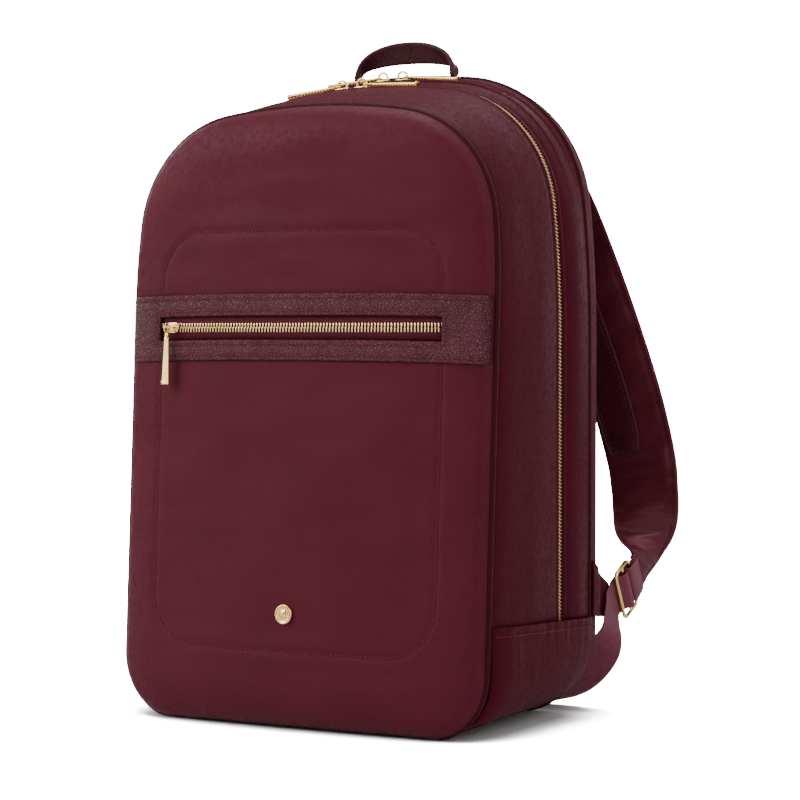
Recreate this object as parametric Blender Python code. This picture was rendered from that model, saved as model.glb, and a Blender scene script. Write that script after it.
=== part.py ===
"""Travel backpack: a slim laptop rucksack of sewn nylon panels with metal zips and leather trim.

Lengths are millimetres and become metres when a mesh is made. +X is the viewer's right when
facing the front of the bag, the front looks along -Y, +Z is up, and the bag stands on z = 0.
The front half opens forward about an axis through the two lower ends of the main zip.
"""

import math

import bmesh
import bpy
from mathutils import Matrix, Vector

MM = 0.001

# ------------------------------------------------------------------ driving dimensions
HALF = 133.5            # half the width of the body at its seams
CORNER = 38.0           # rounding of the two bottom corners at the front seam
REAR_CORNER = 56.0      # the same at the rear seam
FRONT_TOP = 388.5       # height of the front seam
REAR_TOP = 415.0        # height of the rear seam
REAR_SEAM = 60.0        # y of the rear seam
SKIN = 2.0              # nylon, foam and lining together
TOP_RADIUS = 450.0      # radius of the arc across the top
FIT = 0.3               # clearance left between neighbouring pieces

ZIP_Y = 20.0            # plane of the main zip
LAPTOP_Y = 45.0         # plane of the laptop zip
SLOT = 3.0              # half the width of the slot that a zip fills
CHAIN_GAP = 0.6         # half the gap between the two halves of a chain
FLAP_Z = 62.0           # height of the lower ends of the main zip, and of the flap's axis
FOLD_Z = 31.0           # the front panel folds between this height and FLAP_Z

POCKET_Z = 249.5        # height of the front pocket's zip
POCKET_HALF = 104.0     # half the length of the front pocket's opening
BAND_LOW, BAND_HIGH = 229.0, 271.0
BACK_FACE = 76.4        # y of the padded back


def mix(a, b, t):
    return a + (b - a) * t


# ------------------------------------------------------------------ materials
COLOURS = {
    "nylon": ((0.115, 0.035, 0.048), 0.0, 0.55),
    "leather": ((0.070, 0.024, 0.028), 0.0, 0.45),
    "gold_metal": ((0.86, 0.70, 0.42), 1.0, 0.25),
    "zip_tape": ((0.085, 0.022, 0.032), 0.0, 0.8),
    "webbing": ((0.130, 0.038, 0.052), 0.0, 0.7),
    "padded_mesh": ((0.150, 0.045, 0.062), 0.0, 0.9),
    "lining": ((0.060, 0.018, 0.026), 0.0, 0.7),
    "board": ((0.030, 0.030, 0.032), 0.0, 0.6),
}


def material(kind):
    made = bpy.data.materials.get(kind)
    if made is None:
        made = bpy.data.materials.new(kind)
        made.use_nodes = True
        colour, metallic, rough = COLOURS[kind]
        shader = made.node_tree.nodes["Principled BSDF"]
        shader.inputs["Base Color"].default_value = (*colour, 1.0)
        shader.inputs["Metallic"].default_value = metallic
        shader.inputs["Roughness"].default_value = rough
    return made


# ------------------------------------------------------------------ mesh helpers
def finish(name, mesh_data, kind, smooth=False, origin=None):
    """Turns a bmesh in millimetres into one named object with its own material."""
    bmesh.ops.remove_doubles(mesh_data, verts=mesh_data.verts, dist=1e-4)
    bmesh.ops.recalc_face_normals(mesh_data, faces=mesh_data.faces)
    if mesh_data.calc_volume(signed=True) < 0.0:
        bmesh.ops.reverse_faces(mesh_data, faces=mesh_data.faces)
    pivot = Vector(origin) if origin is not None else Vector((0.0, 0.0, 0.0))
    for vert in mesh_data.verts:
        vert.co = (vert.co - pivot) * MM
    mesh = bpy.data.meshes.new(name)
    mesh_data.to_mesh(mesh)
    mesh_data.free()
    for face in mesh.polygons:
        face.use_smooth = smooth
    if smooth:
        mesh.set_sharp_from_angle(angle=math.radians(40.0))
    mesh.materials.append(material(kind))
    made = bpy.data.objects.new(name, mesh)
    made.location = pivot * MM
    bpy.context.scene.collection.objects.link(made)
    return made


def skin_loops(mesh_data, loops, closed=False):
    """Quads between neighbouring loops of points, with flat caps on an open run."""
    rings = [[mesh_data.verts.new(p) for p in loop] for loop in loops]
    count = len(rings[0])
    runs = len(rings) if closed else len(rings) - 1
    for i in range(runs):
        a, b = rings[i], rings[(i + 1) % len(rings)]
        for j in range(count):
            k = (j + 1) % count
            mesh_data.faces.new((a[j], a[k], b[k], b[j]))
    if not closed:
        mesh_data.faces.new(rings[0][::-1])
        mesh_data.faces.new(rings[-1])


def sweep(name, loops, kind, closed=False, smooth=True, origin=None):
    mesh_data = bmesh.new()
    skin_loops(mesh_data, loops, closed)
    return finish(name, mesh_data, kind, smooth, origin)


def add_box(mesh_data, low, high):
    corners = [Vector((x, y, z)) for z in (low[2], high[2]) for x, y in
               ((low[0], low[1]), (high[0], low[1]), (high[0], high[1]), (low[0], high[1]))]
    skin_loops(mesh_data, [corners[:4], corners[4:]])


def box_object(name, low, high, kind):
    mesh_data = bmesh.new()
    add_box(mesh_data, low, high)
    return finish(name, mesh_data, kind)


def combine(target, tool, operation):
    """Applies one exact boolean to target and removes the tool."""
    step = target.modifiers.new("combine", "BOOLEAN")
    step.operation = operation
    step.solver = "EXACT"
    step.object = tool
    bpy.context.view_layer.update()
    graph = bpy.context.evaluated_depsgraph_get()
    result = bpy.data.meshes.new_from_object(target.evaluated_get(graph))
    target.modifiers.clear()
    target.data = result
    bpy.data.objects.remove(tool)


def spline(points, steps):
    """Catmull-Rom through tuples of numbers, steps points to a span."""
    out = []
    for i in range(len(points) - 1):
        p = [points[max(i - 1, 0)], points[i], points[i + 1], points[min(i + 2, len(points) - 1)]]
        for s in range(steps):
            t = s / steps
            row = []
            for a, b, c, d in zip(*p):
                row.append(0.5 * (2 * b + (c - a) * t + (2 * a - 5 * b + 4 * c - d) * t * t
                                  + (3 * b - a - 3 * c + d) * t ** 3))
            out.append(tuple(row))
    out.append(tuple(points[-1]))
    return out


def band_loops(stations, low, high, bevel=0.0):
    """Cross-sections of a strap. A station is (x, y, z, wx, wy, wz, width).

    low and high are how far the strap reaches to either side of the path, along its thickness.
    """
    centres = [Vector(s[:3]) for s in stations]
    loops = []
    for i, station in enumerate(stations):
        ahead = centres[min(i + 1, len(centres) - 1)] - centres[max(i - 1, 0)]
        tangent = ahead.normalized()
        across = Vector(station[3:6])
        across = (across - tangent * across.dot(tangent)).normalized()
        normal = across.cross(tangent)
        half = station[6] / 2
        if bevel:
            soft = min(bevel, half * 0.6)
            rise = (high - low) * 0.3
            shape = [(-half, low + rise), (-half + soft, low), (half - soft, low), (half, low + rise),
                     (half, high - rise), (half - soft, high), (-half + soft, high),
                     (-half, high - rise)]
        else:
            shape = [(-half, low), (half, low), (half, high), (-half, high)]
        loops.append([centres[i] + across * a + normal * n for a, n in shape])
    return loops


def mirrored(loops, side):
    return [[Vector((p.x * side, p.y, p.z)) for p in loop] for loop in loops]


# ------------------------------------------------------------------ outline of the body
def front_y(z):
    """The front seam leans back a little."""
    return -70.0 + 0.054 * (z - 104.0)


def section(y):
    """Share of the way from front to rear outline; level beside each zip so sliders run true."""
    if abs(y - ZIP_Y) <= 5.5:
        y = ZIP_Y
    if abs(y - LAPTOP_Y) <= 5.5:
        y = LAPTOP_Y
    return min(max((y + 55.0) / 115.0, 0.0), 1.0)


def arcs(y):
    """Centres, radii and angles of the three arcs from the top down to the straight side."""
    t = section(y)
    top = mix(FRONT_TOP, REAR_TOP, t)
    first = math.radians(mix(8.5, 6.0, t))
    second = math.radians(84.0)
    shoulder = mix(76.0, 92.0, t)
    top_centre = (0.0, top - TOP_RADIUS)
    sx = (TOP_RADIUS - shoulder) * math.sin(first)
    sz = top - TOP_RADIUS + (TOP_RADIUS - shoulder) * math.cos(first)
    ex, ez = sx + shoulder * math.sin(second), sz + shoulder * math.cos(second)
    side = (HALF - ex) / (1.0 - math.sin(second))
    side_centre = (ex - side * math.sin(second), ez - side * math.cos(second))
    return ((top_centre, TOP_RADIUS, 0.0, first), ((sx, sz), shoulder, first, second),
            (side_centre, side, second, math.pi / 2))


def arch(y, inset, foot):
    """Points (x, z) from the right foot over the top to the left foot."""
    top, shoulder, side = arcs(y)
    half = [(HALF - inset, foot), (HALF - inset, mix(foot, side[0][1], 0.5))]
    for (centre, radius, low, high), steps in ((side, 3), (shoulder, 7), (top, 5)):
        for i in range(steps):
            a = mix(high, low, i / steps)
            r = radius - inset
            half.append((centre[0] + r * math.sin(a), centre[1] + r * math.cos(a)))
    crown = top[0][1] + top[1] - inset
    return half + [(0.0, crown)] + [(-x, z) for x, z in reversed(half)]


def corner_at(y):
    """Rounding of the bottom corners, growing from the front seam to the rear one."""
    return mix(CORNER, REAR_CORNER, min(max((y + 70.0) / 130.0, 0.0), 1.0))


def trough(half, corner, inset, rim):
    """Points (x, z) from the left rim down and under the body to the right rim."""
    right = [(half - inset, rim)]
    for i in range(7):
        a = math.pi / 2 * i / 6
        r = corner - inset
        right.append((half - corner + r * math.cos(a), corner - r * math.sin(a)))
    right.append(((half - corner) / 2, inset))
    return [(-x, z) for x, z in right] + [(0.0, inset)] + list(reversed(right))


def ring(y, inset):
    """The whole outline as a closed run of (x, z)."""
    return arch(y, inset, 70.0) + trough(HALF, corner_at(y), inset, 60.0)


def half_width(z):
    """Half the width of the front outline at a height."""
    if z < CORNER:
        return HALF - CORNER + math.sqrt(max(CORNER ** 2 - (CORNER - z) ** 2, 0.0))
    top, shoulder, side = arcs(-55.0)
    for centre, radius, low, high in (side, shoulder, top):
        if z <= centre[1] + radius * math.cos(low):
            lift = max(z - centre[1], 0.0)
            return centre[0] + math.sqrt(max(radius ** 2 - lift ** 2, 0.0))
    return 0.0


def top_height(x, y=-55.0):
    """Height of the outline above a distance from the middle."""
    x = abs(x)
    for centre, radius, low, high in arcs(y):
        if x <= centre[0] + radius * math.sin(high) + 1e-9:
            return centre[1] + math.sqrt(max(radius ** 2 - (x - centre[0]) ** 2, 0.0))
    return arcs(y)[2][0][1]


def low_height(x):
    over = abs(x) - (HALF - CORNER)
    return CORNER - math.sqrt(max(CORNER ** 2 - over ** 2, 0.0)) if over > 0 else 0.0


def rounding(distance):
    """0 at the seam rising to 1 once the panel has turned flat."""
    share = min(max(distance / 26.0, 0.0), 1.0)
    return math.sqrt(1.0 - (1.0 - share) ** 2)


def front_surface(x, z):
    """y of the outside of the puffed front panel."""
    across = rounding(half_width(z) - abs(x))
    along = rounding(min(top_height(x) - z, z - low_height(x)))
    puff = across * along * (7.3 + 9.8 * (1.0 - (x / HALF) ** 2))
    return front_y(z) - 3.9 - puff


COLUMNS = (0.125, 0.25, 0.37, 0.5, 0.64, 0.78, 0.86, 0.93, 0.975, 0.996)
SPREAD = tuple(-u for u in reversed(COLUMNS)) + (0.0,) + COLUMNS


def sheet(name, rows, kind, front, back, smooth=True):
    """A closed sheet from a grid of (x, z), front and back being offsets from the surface."""
    mesh_data = bmesh.new()
    faces = []
    for offset in (front, back):
        faces.append([[mesh_data.verts.new((x, front_surface(x, z) + offset, z)) for x, z in row]
                      for row in rows])
    for grid in faces:
        for a, b in zip(grid, grid[1:]):
            for j in range(len(a) - 1):
                mesh_data.faces.new((a[j], a[j + 1], b[j + 1], b[j]))
    rims = []
    for grid in faces:
        rim = list(grid[0]) + [row[-1] for row in grid[1:]]
        rim += list(reversed(grid[-1][:-1])) + [row[0] for row in reversed(grid[1:-1])]
        rims.append(rim)
    for j in range(len(rims[0])):
        k = (j + 1) % len(rims[0])
        mesh_data.faces.new((rims[0][j], rims[0][k], rims[1][k], rims[1][j]))
    return finish(name, mesh_data, kind, smooth)


# ------------------------------------------------------------------ front half, opens forward
def front_pieces():
    rows = []
    climb = (0.0, 0.13, 0.27, 0.40, 0.52, 0.64, 0.75, 0.84, 0.91, 0.96, 0.99)
    for v in climb:
        row = []
        for u in SPREAD:
            x = u * HALF
            low, high = FLAP_Z + FIT, top_height(x) - 0.6
            row.append((x, mix(low, high, v / climb[-1])))
        rows.append(row)
    panel = sheet("front_panel", rows, "nylon", 0.0, SKIN)
    slot = box_object("cutter", (-POCKET_HALF - 0.5, -130, POCKET_Z - 7.5),
                      (POCKET_HALF + 0.5, -50, POCKET_Z + 7.5), "lining")
    combine(panel, slot, "DIFFERENCE")

    band = [[(u * HALF * 0.988, z) for u in SPREAD] for z in (BAND_LOW, 239, 250, 260, BAND_HIGH)]
    leather = sheet("leather_band", band, "leather", -FIT - 1.6, -FIT)
    window = box_object("cutter", (-POCKET_HALF, -130, POCKET_Z - 7.2),
                        (POCKET_HALF, -50, POCKET_Z + 7.2), "lining")
    combine(leather, window, "DIFFERENCE")

    inner = [u * HALF for u in SPREAD if abs(u) < 0.77]
    run = [-POCKET_HALF + FIT] + inner + [POCKET_HALF - FIT]
    for name, low, high in (("pocket_chain_lower", -7.2, -CHAIN_GAP), ("pocket_chain_upper", CHAIN_GAP, 7.2)):
        sheet(name, [[(x, POCKET_Z + dz) for x in run] for dz in (low, high)], "zip_tape", 0.0, SKIN)

    # gusset strip from the front seam back to the main zip
    stations = []
    for outer, inner in zip(zip(arch(-55.0, 0.0, FLAP_Z + FIT), arch(ZIP_Y, 0.0, FLAP_Z + FIT)),
                            zip(arch(-55.0, SKIN, FLAP_Z + FIT), arch(ZIP_Y, SKIN, FLAP_Z + FIT))):
        loop = []
        for (front, rear), flip in ((outer, False), (inner, True)):
            start = Vector((front[0], front_y(front[1]) + 1.9, front[1]))
            level = Vector((rear[0], ZIP_Y - 5.0, rear[1]))
            edge = Vector((rear[0], ZIP_Y - SLOT, rear[1]))
            line = [start, start.lerp(level, 0.5), level, edge]
            loop += line[::-1] if flip else line
        stations.append(loop)
    sweep("front_gusset", stations, "nylon")

    chain_half("main_chain_front", ZIP_Y - SLOT + FIT, ZIP_Y - CHAIN_GAP, arch_run(ZIP_Y))
    cord = [(x, z) for x, z in arch(-55.0, 0.4, FLAP_Z + FIT)]
    tube("front_piping", [(x, front_y(z), z) for x, z in cord], 1.5, "nylon")

    # lining pouch behind the front pocket's zip, open towards the panel
    pouch = box_object("front_pocket_bag", (-108, -11.2, 100), (108, 4.0, 264), "lining")
    hollow = box_object("cutter", (-106.8, -30, 101.2), (106.8, 2.8, 262.8), "lining")
    combine(pouch, hollow, "DIFFERENCE")
    for vert in pouch.data.vertices:
        vert.co.y += front_y(vert.co.z / MM) * MM

    badge()


def arch_run(y):
    """The main zip's path: (point, outward normal) pairs over the top, foot to foot."""
    outer = arch(y, 0.0, FLAP_Z + FIT)
    inner = arch(y, SKIN, FLAP_Z + FIT)
    return [(Vector((a[0], 0.0, a[1])), Vector((b[0], 0.0, b[1]))) for a, b in zip(outer, inner)]


def crest_run(y, reach):
    """The same for a zip that only crosses the top."""
    pairs = []
    for i in range(17):
        x = mix(reach, -reach, i / 16)
        a = Vector((x, 0.0, top_height(x, y)))
        slope = (top_height(abs(x) + 0.5, y) - top_height(abs(x) - 0.5 if abs(x) > 0.5 else 0.5, y))
        slope *= -1.0 if x < 0 else 1.0
        normal = Vector((-slope if abs(x) > 0.5 else 0.0, 0.0, 1.0)).normalized()
        pairs.append((a, a - normal * SKIN))
    return pairs


def chain_half(name, near, far, run):
    loops = [[Vector((o.x, near, o.z)), Vector((o.x, far, o.z)),
              Vector((i.x, far, i.z)), Vector((i.x, near, i.z))] for o, i in run]
    sweep(name, loops, "zip_tape")


def tube(name, centres, radius, kind, closed=False, sides=6):
    """A cord along a path; the cross-section stays square to the path."""
    points = [Vector(c) for c in centres]
    loops = []
    count = len(points)
    for i, point in enumerate(points):
        before = points[i - 1] if closed or i > 0 else point
        after = points[(i + 1) % count] if closed or i < count - 1 else point
        tangent = (after - before).normalized()
        across = Vector((0.0, 1.0, 0.0))
        across = (across - tangent * across.dot(tangent)).normalized()
        normal = tangent.cross(across)
        loops.append([point + (across * math.cos(a) + normal * math.sin(a)) * radius
                      for a in (2 * math.pi * k / sides for k in range(sides))])
    return sweep(name, loops, kind, closed)


def badge():
    """Small round metal badge low on the front."""
    z = 72.0
    y = front_surface(0.0, z)
    lean = math.atan(0.054)
    out = Vector((0.0, -math.cos(lean), math.sin(lean)))
    side, up = Vector((1.0, 0.0, 0.0)), Vector((0.0, math.sin(lean), math.cos(lean)))
    base = Vector((0.0, y, z))
    loops = []
    for radius, lift in ((6.0, 0.4), (6.0, 1.4), (5.4, 1.9), (4.6, 1.9), (4.3, 1.5), (3.0, 1.7)):
        loops.append([base + out * lift + (side * math.cos(a) + up * math.sin(a)) * radius
                      for a in (2 * math.pi * k / 20 for k in range(20))])
    sweep("badge", loops, "gold_metal")


# ------------------------------------------------------------------ fixed shell
def shell_pieces():
    # rear gusset, from the main zip back to the rear seam
    spans = ((ZIP_Y + SLOT, ZIP_Y), (ZIP_Y + 5.0, ZIP_Y), (LAPTOP_Y - 5.0, LAPTOP_Y),
             (LAPTOP_Y + 5.0, LAPTOP_Y), (REAR_SEAM - 1.9, REAR_SEAM))
    outer = [arch(at, 0.0, FLAP_Z + FIT) for _, at in spans]
    inner = [arch(at, SKIN, FLAP_Z + FIT) for _, at in spans]
    loops = []
    for k in range(len(outer[0])):
        out_line = [Vector((o[k][0], y, o[k][1])) for o, (y, _) in zip(outer, spans)]
        in_line = [Vector((o[k][0], y, o[k][1])) for o, (y, _) in zip(inner, spans)]
        loops.append(out_line + in_line[::-1])
    gusset = sweep("rear_gusset", loops, "nylon")
    slot = box_object("cutter", (-78, LAPTOP_Y - SLOT, 380), (78, LAPTOP_Y + SLOT, 430), "lining")
    combine(gusset, slot, "DIFFERENCE")

    chain_half("main_chain_rear", ZIP_Y + CHAIN_GAP, ZIP_Y + SLOT - FIT, arch_run(ZIP_Y))
    run = crest_run(LAPTOP_Y, 77.5)
    chain_half("laptop_chain_front", LAPTOP_Y - SLOT + FIT, LAPTOP_Y - CHAIN_GAP, run)
    chain_half("laptop_chain_rear", LAPTOP_Y + CHAIN_GAP, LAPTOP_Y + SLOT - FIT, run)

    # bottom gusset: one strip under the bag and up inside both side pockets
    depths = (-70.0, -20.0, ZIP_Y, REAR_SEAM - 1.9)
    outer = [trough(131.0, corner_at(y) - 2.0, 0.0, 61.7) for y in depths]
    inner = [trough(131.0, corner_at(y) - 2.0, SKIN, 61.7) for y in depths]
    loops = []
    for k in range(len(outer[0])):
        sides = []
        for walls in (outer, inner):
            front = walls[0][k]
            line = [Vector((front[0], front_y(front[1]) + 1.9, front[1]))]
            sides.append(line + [Vector((o[k][0], y, o[k][1])) for o, y in zip(walls[1:], depths[1:])])
        loops.append(sides[0] + sides[1][::-1])
    sweep("bottom_gusset", loops, "nylon")

    rows = [[(u * half_width(z), z) for u in SPREAD] for z in (1.2, 3.5, 7.0, 12.0, 19.0, FOLD_Z)]
    sheet("front_panel_lower", rows, "nylon", 0.0, SKIN)
    rows = [[(u * half_width(z), z) for u in SPREAD] for z in (FOLD_Z + FIT, 38.0, 48.0, FLAP_Z - FIT)]
    sheet("front_fold", rows, "nylon", 0.0, SKIN)

    low = trough(HALF, CORNER, 0.4, FOLD_Z - 1.0)
    low = [(x, z) for x, z in low if z < FOLD_Z]
    tube("front_piping_lower", [(x, front_y(z), max(z, 1.3)) for x, z in low], 1.2, "nylon")
    rear = ring(REAR_SEAM, 0.4)
    tube("rear_piping", [(x, REAR_SEAM, max(z, 1.6)) for x, z in rear], 1.5, "nylon", closed=True)

    # padded back: a foam panel inside the seam and a raised mesh pad on it
    loops = []
    for y, inset in ((REAR_SEAM + 1.9, 0.3), (REAR_SEAM + 9.0, 0.3), (REAR_SEAM + 12.4, 1.6),
                     (REAR_SEAM + 13.6, 4.0)):
        loops.append([Vector((x, y, z)) for x, z in ring(REAR_SEAM, inset)])
    sweep("back_panel", loops, "padded_mesh")
    loops = []
    for y, inset in ((REAR_SEAM + 13.9, 6.0), (BACK_FACE - 1.0, 6.0), (BACK_FACE, 9.0)):
        loops.append([Vector((x, y, z)) for x, z in ring(REAR_SEAM, inset)])
    sweep("back_mesh", loops, "padded_mesh")

    # luggage sleeve: a band across the back, open above and below
    loops = []
    for i in range(15):
        x = mix(-126.0, 126.0, i / 14)
        y = BACK_FACE + 0.5 + 5.6 * (1.0 - (x / 126.0) ** 2)
        loops.append([Vector((x, y, 42.0)), Vector((x, y + 1.6, 42.0)),
                      Vector((x, y + 1.6, 248.0)), Vector((x, y, 248.0))])
    sweep("luggage_sleeve", loops, "nylon")

    # divider between the main and the laptop compartment, and the board under them
    loops = [[Vector((x, y, z)) for x, z in ring(30.0, 5.2)] for y in (32.6, 35.0)]
    sweep("laptop_divider", loops, "lining")
    box_object("base_board", (-74.0, -60.0, 2.4), (74.0, 57.0, 4.6), "board")


def side_pocket(name, side):
    """A shallow slip pocket over the lower gusset, gathered and puffed in the middle."""
    half, wall = 137.0, 1.2
    marks = (-68.5, -50.0, -28.0, -5.0, 18.0, 40.0, 58.1)
    path = [(67.0, 1.0, 3.2), (62.1, 1.0, 3.2), (61.0, 1.0, 5.5), (None, 0.8, 5.5)]
    loops = []
    for height, puff, reach in path:
        points = [Vector((half, y, corner_at(y) if height is None else height)) for y in marks]
        loops.append(pocket_loop(points, Vector((1, 0, 0)), puff, reach, wall))
    for degrees, puff, reach in ((16, 0.6, 5.0), (32, 0.35, 4.0), (48, 0.15, 2.9), (60, 0.0, 2.0)):
        a = math.radians(degrees)
        out = Vector((math.cos(a), 0.0, -math.sin(a)))
        points = []
        for y in marks:
            corner = corner_at(y)
            points.append(Vector((half - corner, y, corner)) + out * corner)
        loops.append(pocket_loop(points, out, puff, reach, wall))
    sweep(name, mirrored(loops, side), "nylon")


def pocket_loop(points, out, puff, reach, wall):
    outer, inner = [], []
    for point in points:
        bulge = 4.2 * puff * (1.0 - ((point.y + 5.0) / 64.0) ** 2)
        outer.append(point + out * bulge)
        inner.append(point + out * (bulge - wall))
    rear, step = points[-1], Vector((0.0, wall, 0.0))
    inner[-1] = rear - out * wall - step
    flange = [rear - out * reach, rear - out * reach - step]
    return outer + flange + inner[::-1]


# ------------------------------------------------------------------ zip sliders and pulls
EYE = 3.4               # radius of a slider's bridge, measured to the middle of its wire
EYE_RISE = 3.2          # height of the bridge's centre above the chain


def frame_at(origin, along, up):
    """Matrix taking local (travel, across, height) to the bag's millimetres."""
    along, up = along.normalized(), up.normalized()
    across = up.cross(along)
    rows = Matrix((along, across, up)).transposed().to_4x4()
    return Matrix.Translation(origin) @ rows


def slider(name, place, pivot):
    """A plate over and under the chain joined by a web, with a wire bridge on top."""
    shape = ((3.6, 0.3), (3.6, 1.1), (2.8, 1.5), (-2.8, 1.5), (-3.6, 1.1), (-3.6, 0.3), (-0.35, 0.3),
             (-0.35, -2.3), (-2.6, -2.3), (-2.6, -3.3), (2.6, -3.3), (2.6, -2.3), (0.35, -2.3), (0.35, 0.3))
    body = bmesh.new()
    skin_loops(body, [[place @ Vector((s * 5.0, c, h)) for c, h in shape] for s in (-1.0, 1.0)])
    body = finish(name, body, "gold_metal")
    wire = bmesh.new()
    turns = [(-EYE, 0.9), (-EYE, EYE_RISE)]
    turns += [(-EYE * math.cos(a), EYE_RISE + EYE * math.sin(a))
              for a in (math.pi * k / 8 for k in range(1, 8))]
    turns += [(EYE, EYE_RISE), (EYE, 0.9)]
    loops = []
    for i, (s, h) in enumerate(turns):
        a, b = turns[max(i - 1, 0)], turns[min(i + 1, len(turns) - 1)]
        tangent = Vector((b[0] - a[0], 0.0, b[1] - a[1])).normalized()
        normal = Vector((tangent.z, 0.0, -tangent.x))
        loops.append([place @ (Vector((s, 0.0, h)) + (normal * math.cos(q) + Vector((0, 1, 0)) * math.sin(q)) * 0.7)
                      for q in (2 * math.pi * k / 6 for k in range(6))])
    skin_loops(wire, loops)
    combine(body, finish("cutter", wire, "gold_metal"), "UNION")
    set_origin(body, pivot)
    return body


def pull(name, place, direction, tilt, length, pivot_at=None, thick=1.75, wide=2.5):
    """A ring threaded on the bridge and a bar that widens to a flat end.

    direction is +1 or -1 along the travel, tilt in radians lowers the bar's far end.
    """
    centre = Vector((0.0, 0.0, EYE_RISE))
    out = Vector((direction * math.cos(tilt), 0.0, -math.sin(tilt)))
    rise = Vector((direction * math.sin(tilt), 0.0, math.cos(tilt)))
    across = Vector((0.0, 1.0, 0.0))
    eye = centre + out * EYE
    hoop = bmesh.new()
    loops = []
    for k in range(12):
        a = 2 * math.pi * k / 12
        spoke = out * math.cos(a) + across * math.sin(a)
        loops.append([place @ (eye + spoke * (1.75 + 0.6 * math.cos(q)) + rise * 0.6 * math.sin(q))
                      for q in (2 * math.pi * j / 6 for j in range(6))])
    skin_loops(hoop, loops, closed=True)
    made = finish(name, hoop, "gold_metal", True)
    bar = bmesh.new()
    loops = []
    for share, w, t in ((0.0, 0.9, 0.5), (0.08, 1.1, 0.8), (0.5, wide * 0.72, thick * 0.75),
                        (0.96, wide, thick), (1.0, wide * 0.92, thick * 0.9)):
        middle = centre + out * mix(EYE + 1.9, EYE + 1.9 + length, share)
        ring_points = ((w, t * 0.4), (w * 0.6, t), (-w * 0.6, t), (-w, t * 0.4),
                       (-w, -t * 0.4), (-w * 0.6, -t), (w * 0.6, -t), (w, -t * 0.4))
        loops.append([place @ (middle + across * c + rise * h) for c, h in ring_points])
    skin_loops(bar, loops)
    combine(made, finish("cutter", bar, "gold_metal"), "UNION")
    set_origin(made, place @ centre)
    return made


def set_origin(made, point):
    """Moves an object's origin to a point given in millimetres, leaving its mesh in place."""
    shift = Vector(point) * MM - made.location
    for vert in made.data.vertices:
        vert.co -= shift
    made.location += shift


def zip_pieces():
    for prefix, y, left_x, right_x in (("main", ZIP_Y, -28.0, -13.0), ("laptop", LAPTOP_Y, -12.0, 3.0)):
        crown = top_height(0.0, y)
        hub = Vector((0.0, y, crown - TOP_RADIUS))
        for tag, x, way in (("left", left_x, -1.0), ("right", right_x, 1.0)):
            a = math.asin(x / TOP_RADIUS)
            up = Vector((math.sin(a), 0.0, math.cos(a)))
            along = Vector((math.cos(a), 0.0, -math.sin(a)))
            place = frame_at(hub + up * TOP_RADIUS, along, up)
            slider(f"{prefix}_slider_{tag}", place, hub)
            pull(f"{prefix}_pull_{tag}", place, way, math.radians(4.0), 37.0)

    # front pocket: the slider runs along the puffed panel, its pull hangs in front of the band
    x = -94.0
    radius = HALF ** 2 / (2 * 9.8)
    hub = Vector((0.0, front_surface(0.0, POCKET_Z) + radius, POCKET_Z))
    a = math.asin(x / radius)
    out = Vector((math.sin(a), -math.cos(a), 0.0))
    lean = math.atan(0.054)
    up = out * math.cos(lean) + Vector((0.0, 0.0, math.sin(lean)))
    along = Vector((math.cos(a), math.sin(a), 0.0))
    place = frame_at(hub + out * radius, along, up)
    slider("pocket_slider", place, hub)
    hanging_pull("pocket_pull", place)


def hanging_pull(name, place):
    """The pocket's pull: a ring round the top of the bridge, with the bar hanging below it."""
    centre = Vector((0.0, 0.0, EYE_RISE + EYE))
    down, across, out = Vector((0.0, -1.0, 0.0)), Vector((1.0, 0.0, 0.0)), Vector((0.0, 0.0, 1.0))
    hoop = bmesh.new()
    loops = []
    for k in range(14):
        a = 2 * math.pi * k / 14
        spoke = down * math.cos(a) + out * math.sin(a)
        core = centre + down * 0.8 + spoke * 2.4
        loops.append([place @ (core + spoke * 0.65 * math.cos(q) + across * 0.65 * math.sin(q))
                      for q in (2 * math.pi * j / 6 for j in range(6))])
    skin_loops(hoop, loops, closed=True)
    made = finish(name, hoop, "gold_metal", True)
    bar = bmesh.new()
    loops = []
    for share, w, t in ((0.0, 0.8, 0.5), (0.1, 2.4, 1.1), (0.9, 3.3, 1.5), (1.0, 3.0, 1.2)):
        middle = centre + down * mix(3.2, 36.5, share)
        shape = ((w, t * 0.4), (w * 0.6, t), (-w * 0.6, t), (-w, t * 0.4),
                 (-w, -t * 0.4), (-w * 0.6, -t), (w * 0.6, -t), (w, -t * 0.4))
        loops.append([place @ (middle + across * c + out * h) for c, h in shape])
    skin_loops(bar, loops)
    combine(made, finish("cutter", bar, "gold_metal"), "UNION")
    set_origin(made, place @ centre)


# ------------------------------------------------------------------ handle
HANDLE_Y, HANDLE_Z = 54.0, 417.0    # axis through the handle's two feet
FOOT_HALF = 4.3                     # half the width of a foot, rounded about that axis


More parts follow.
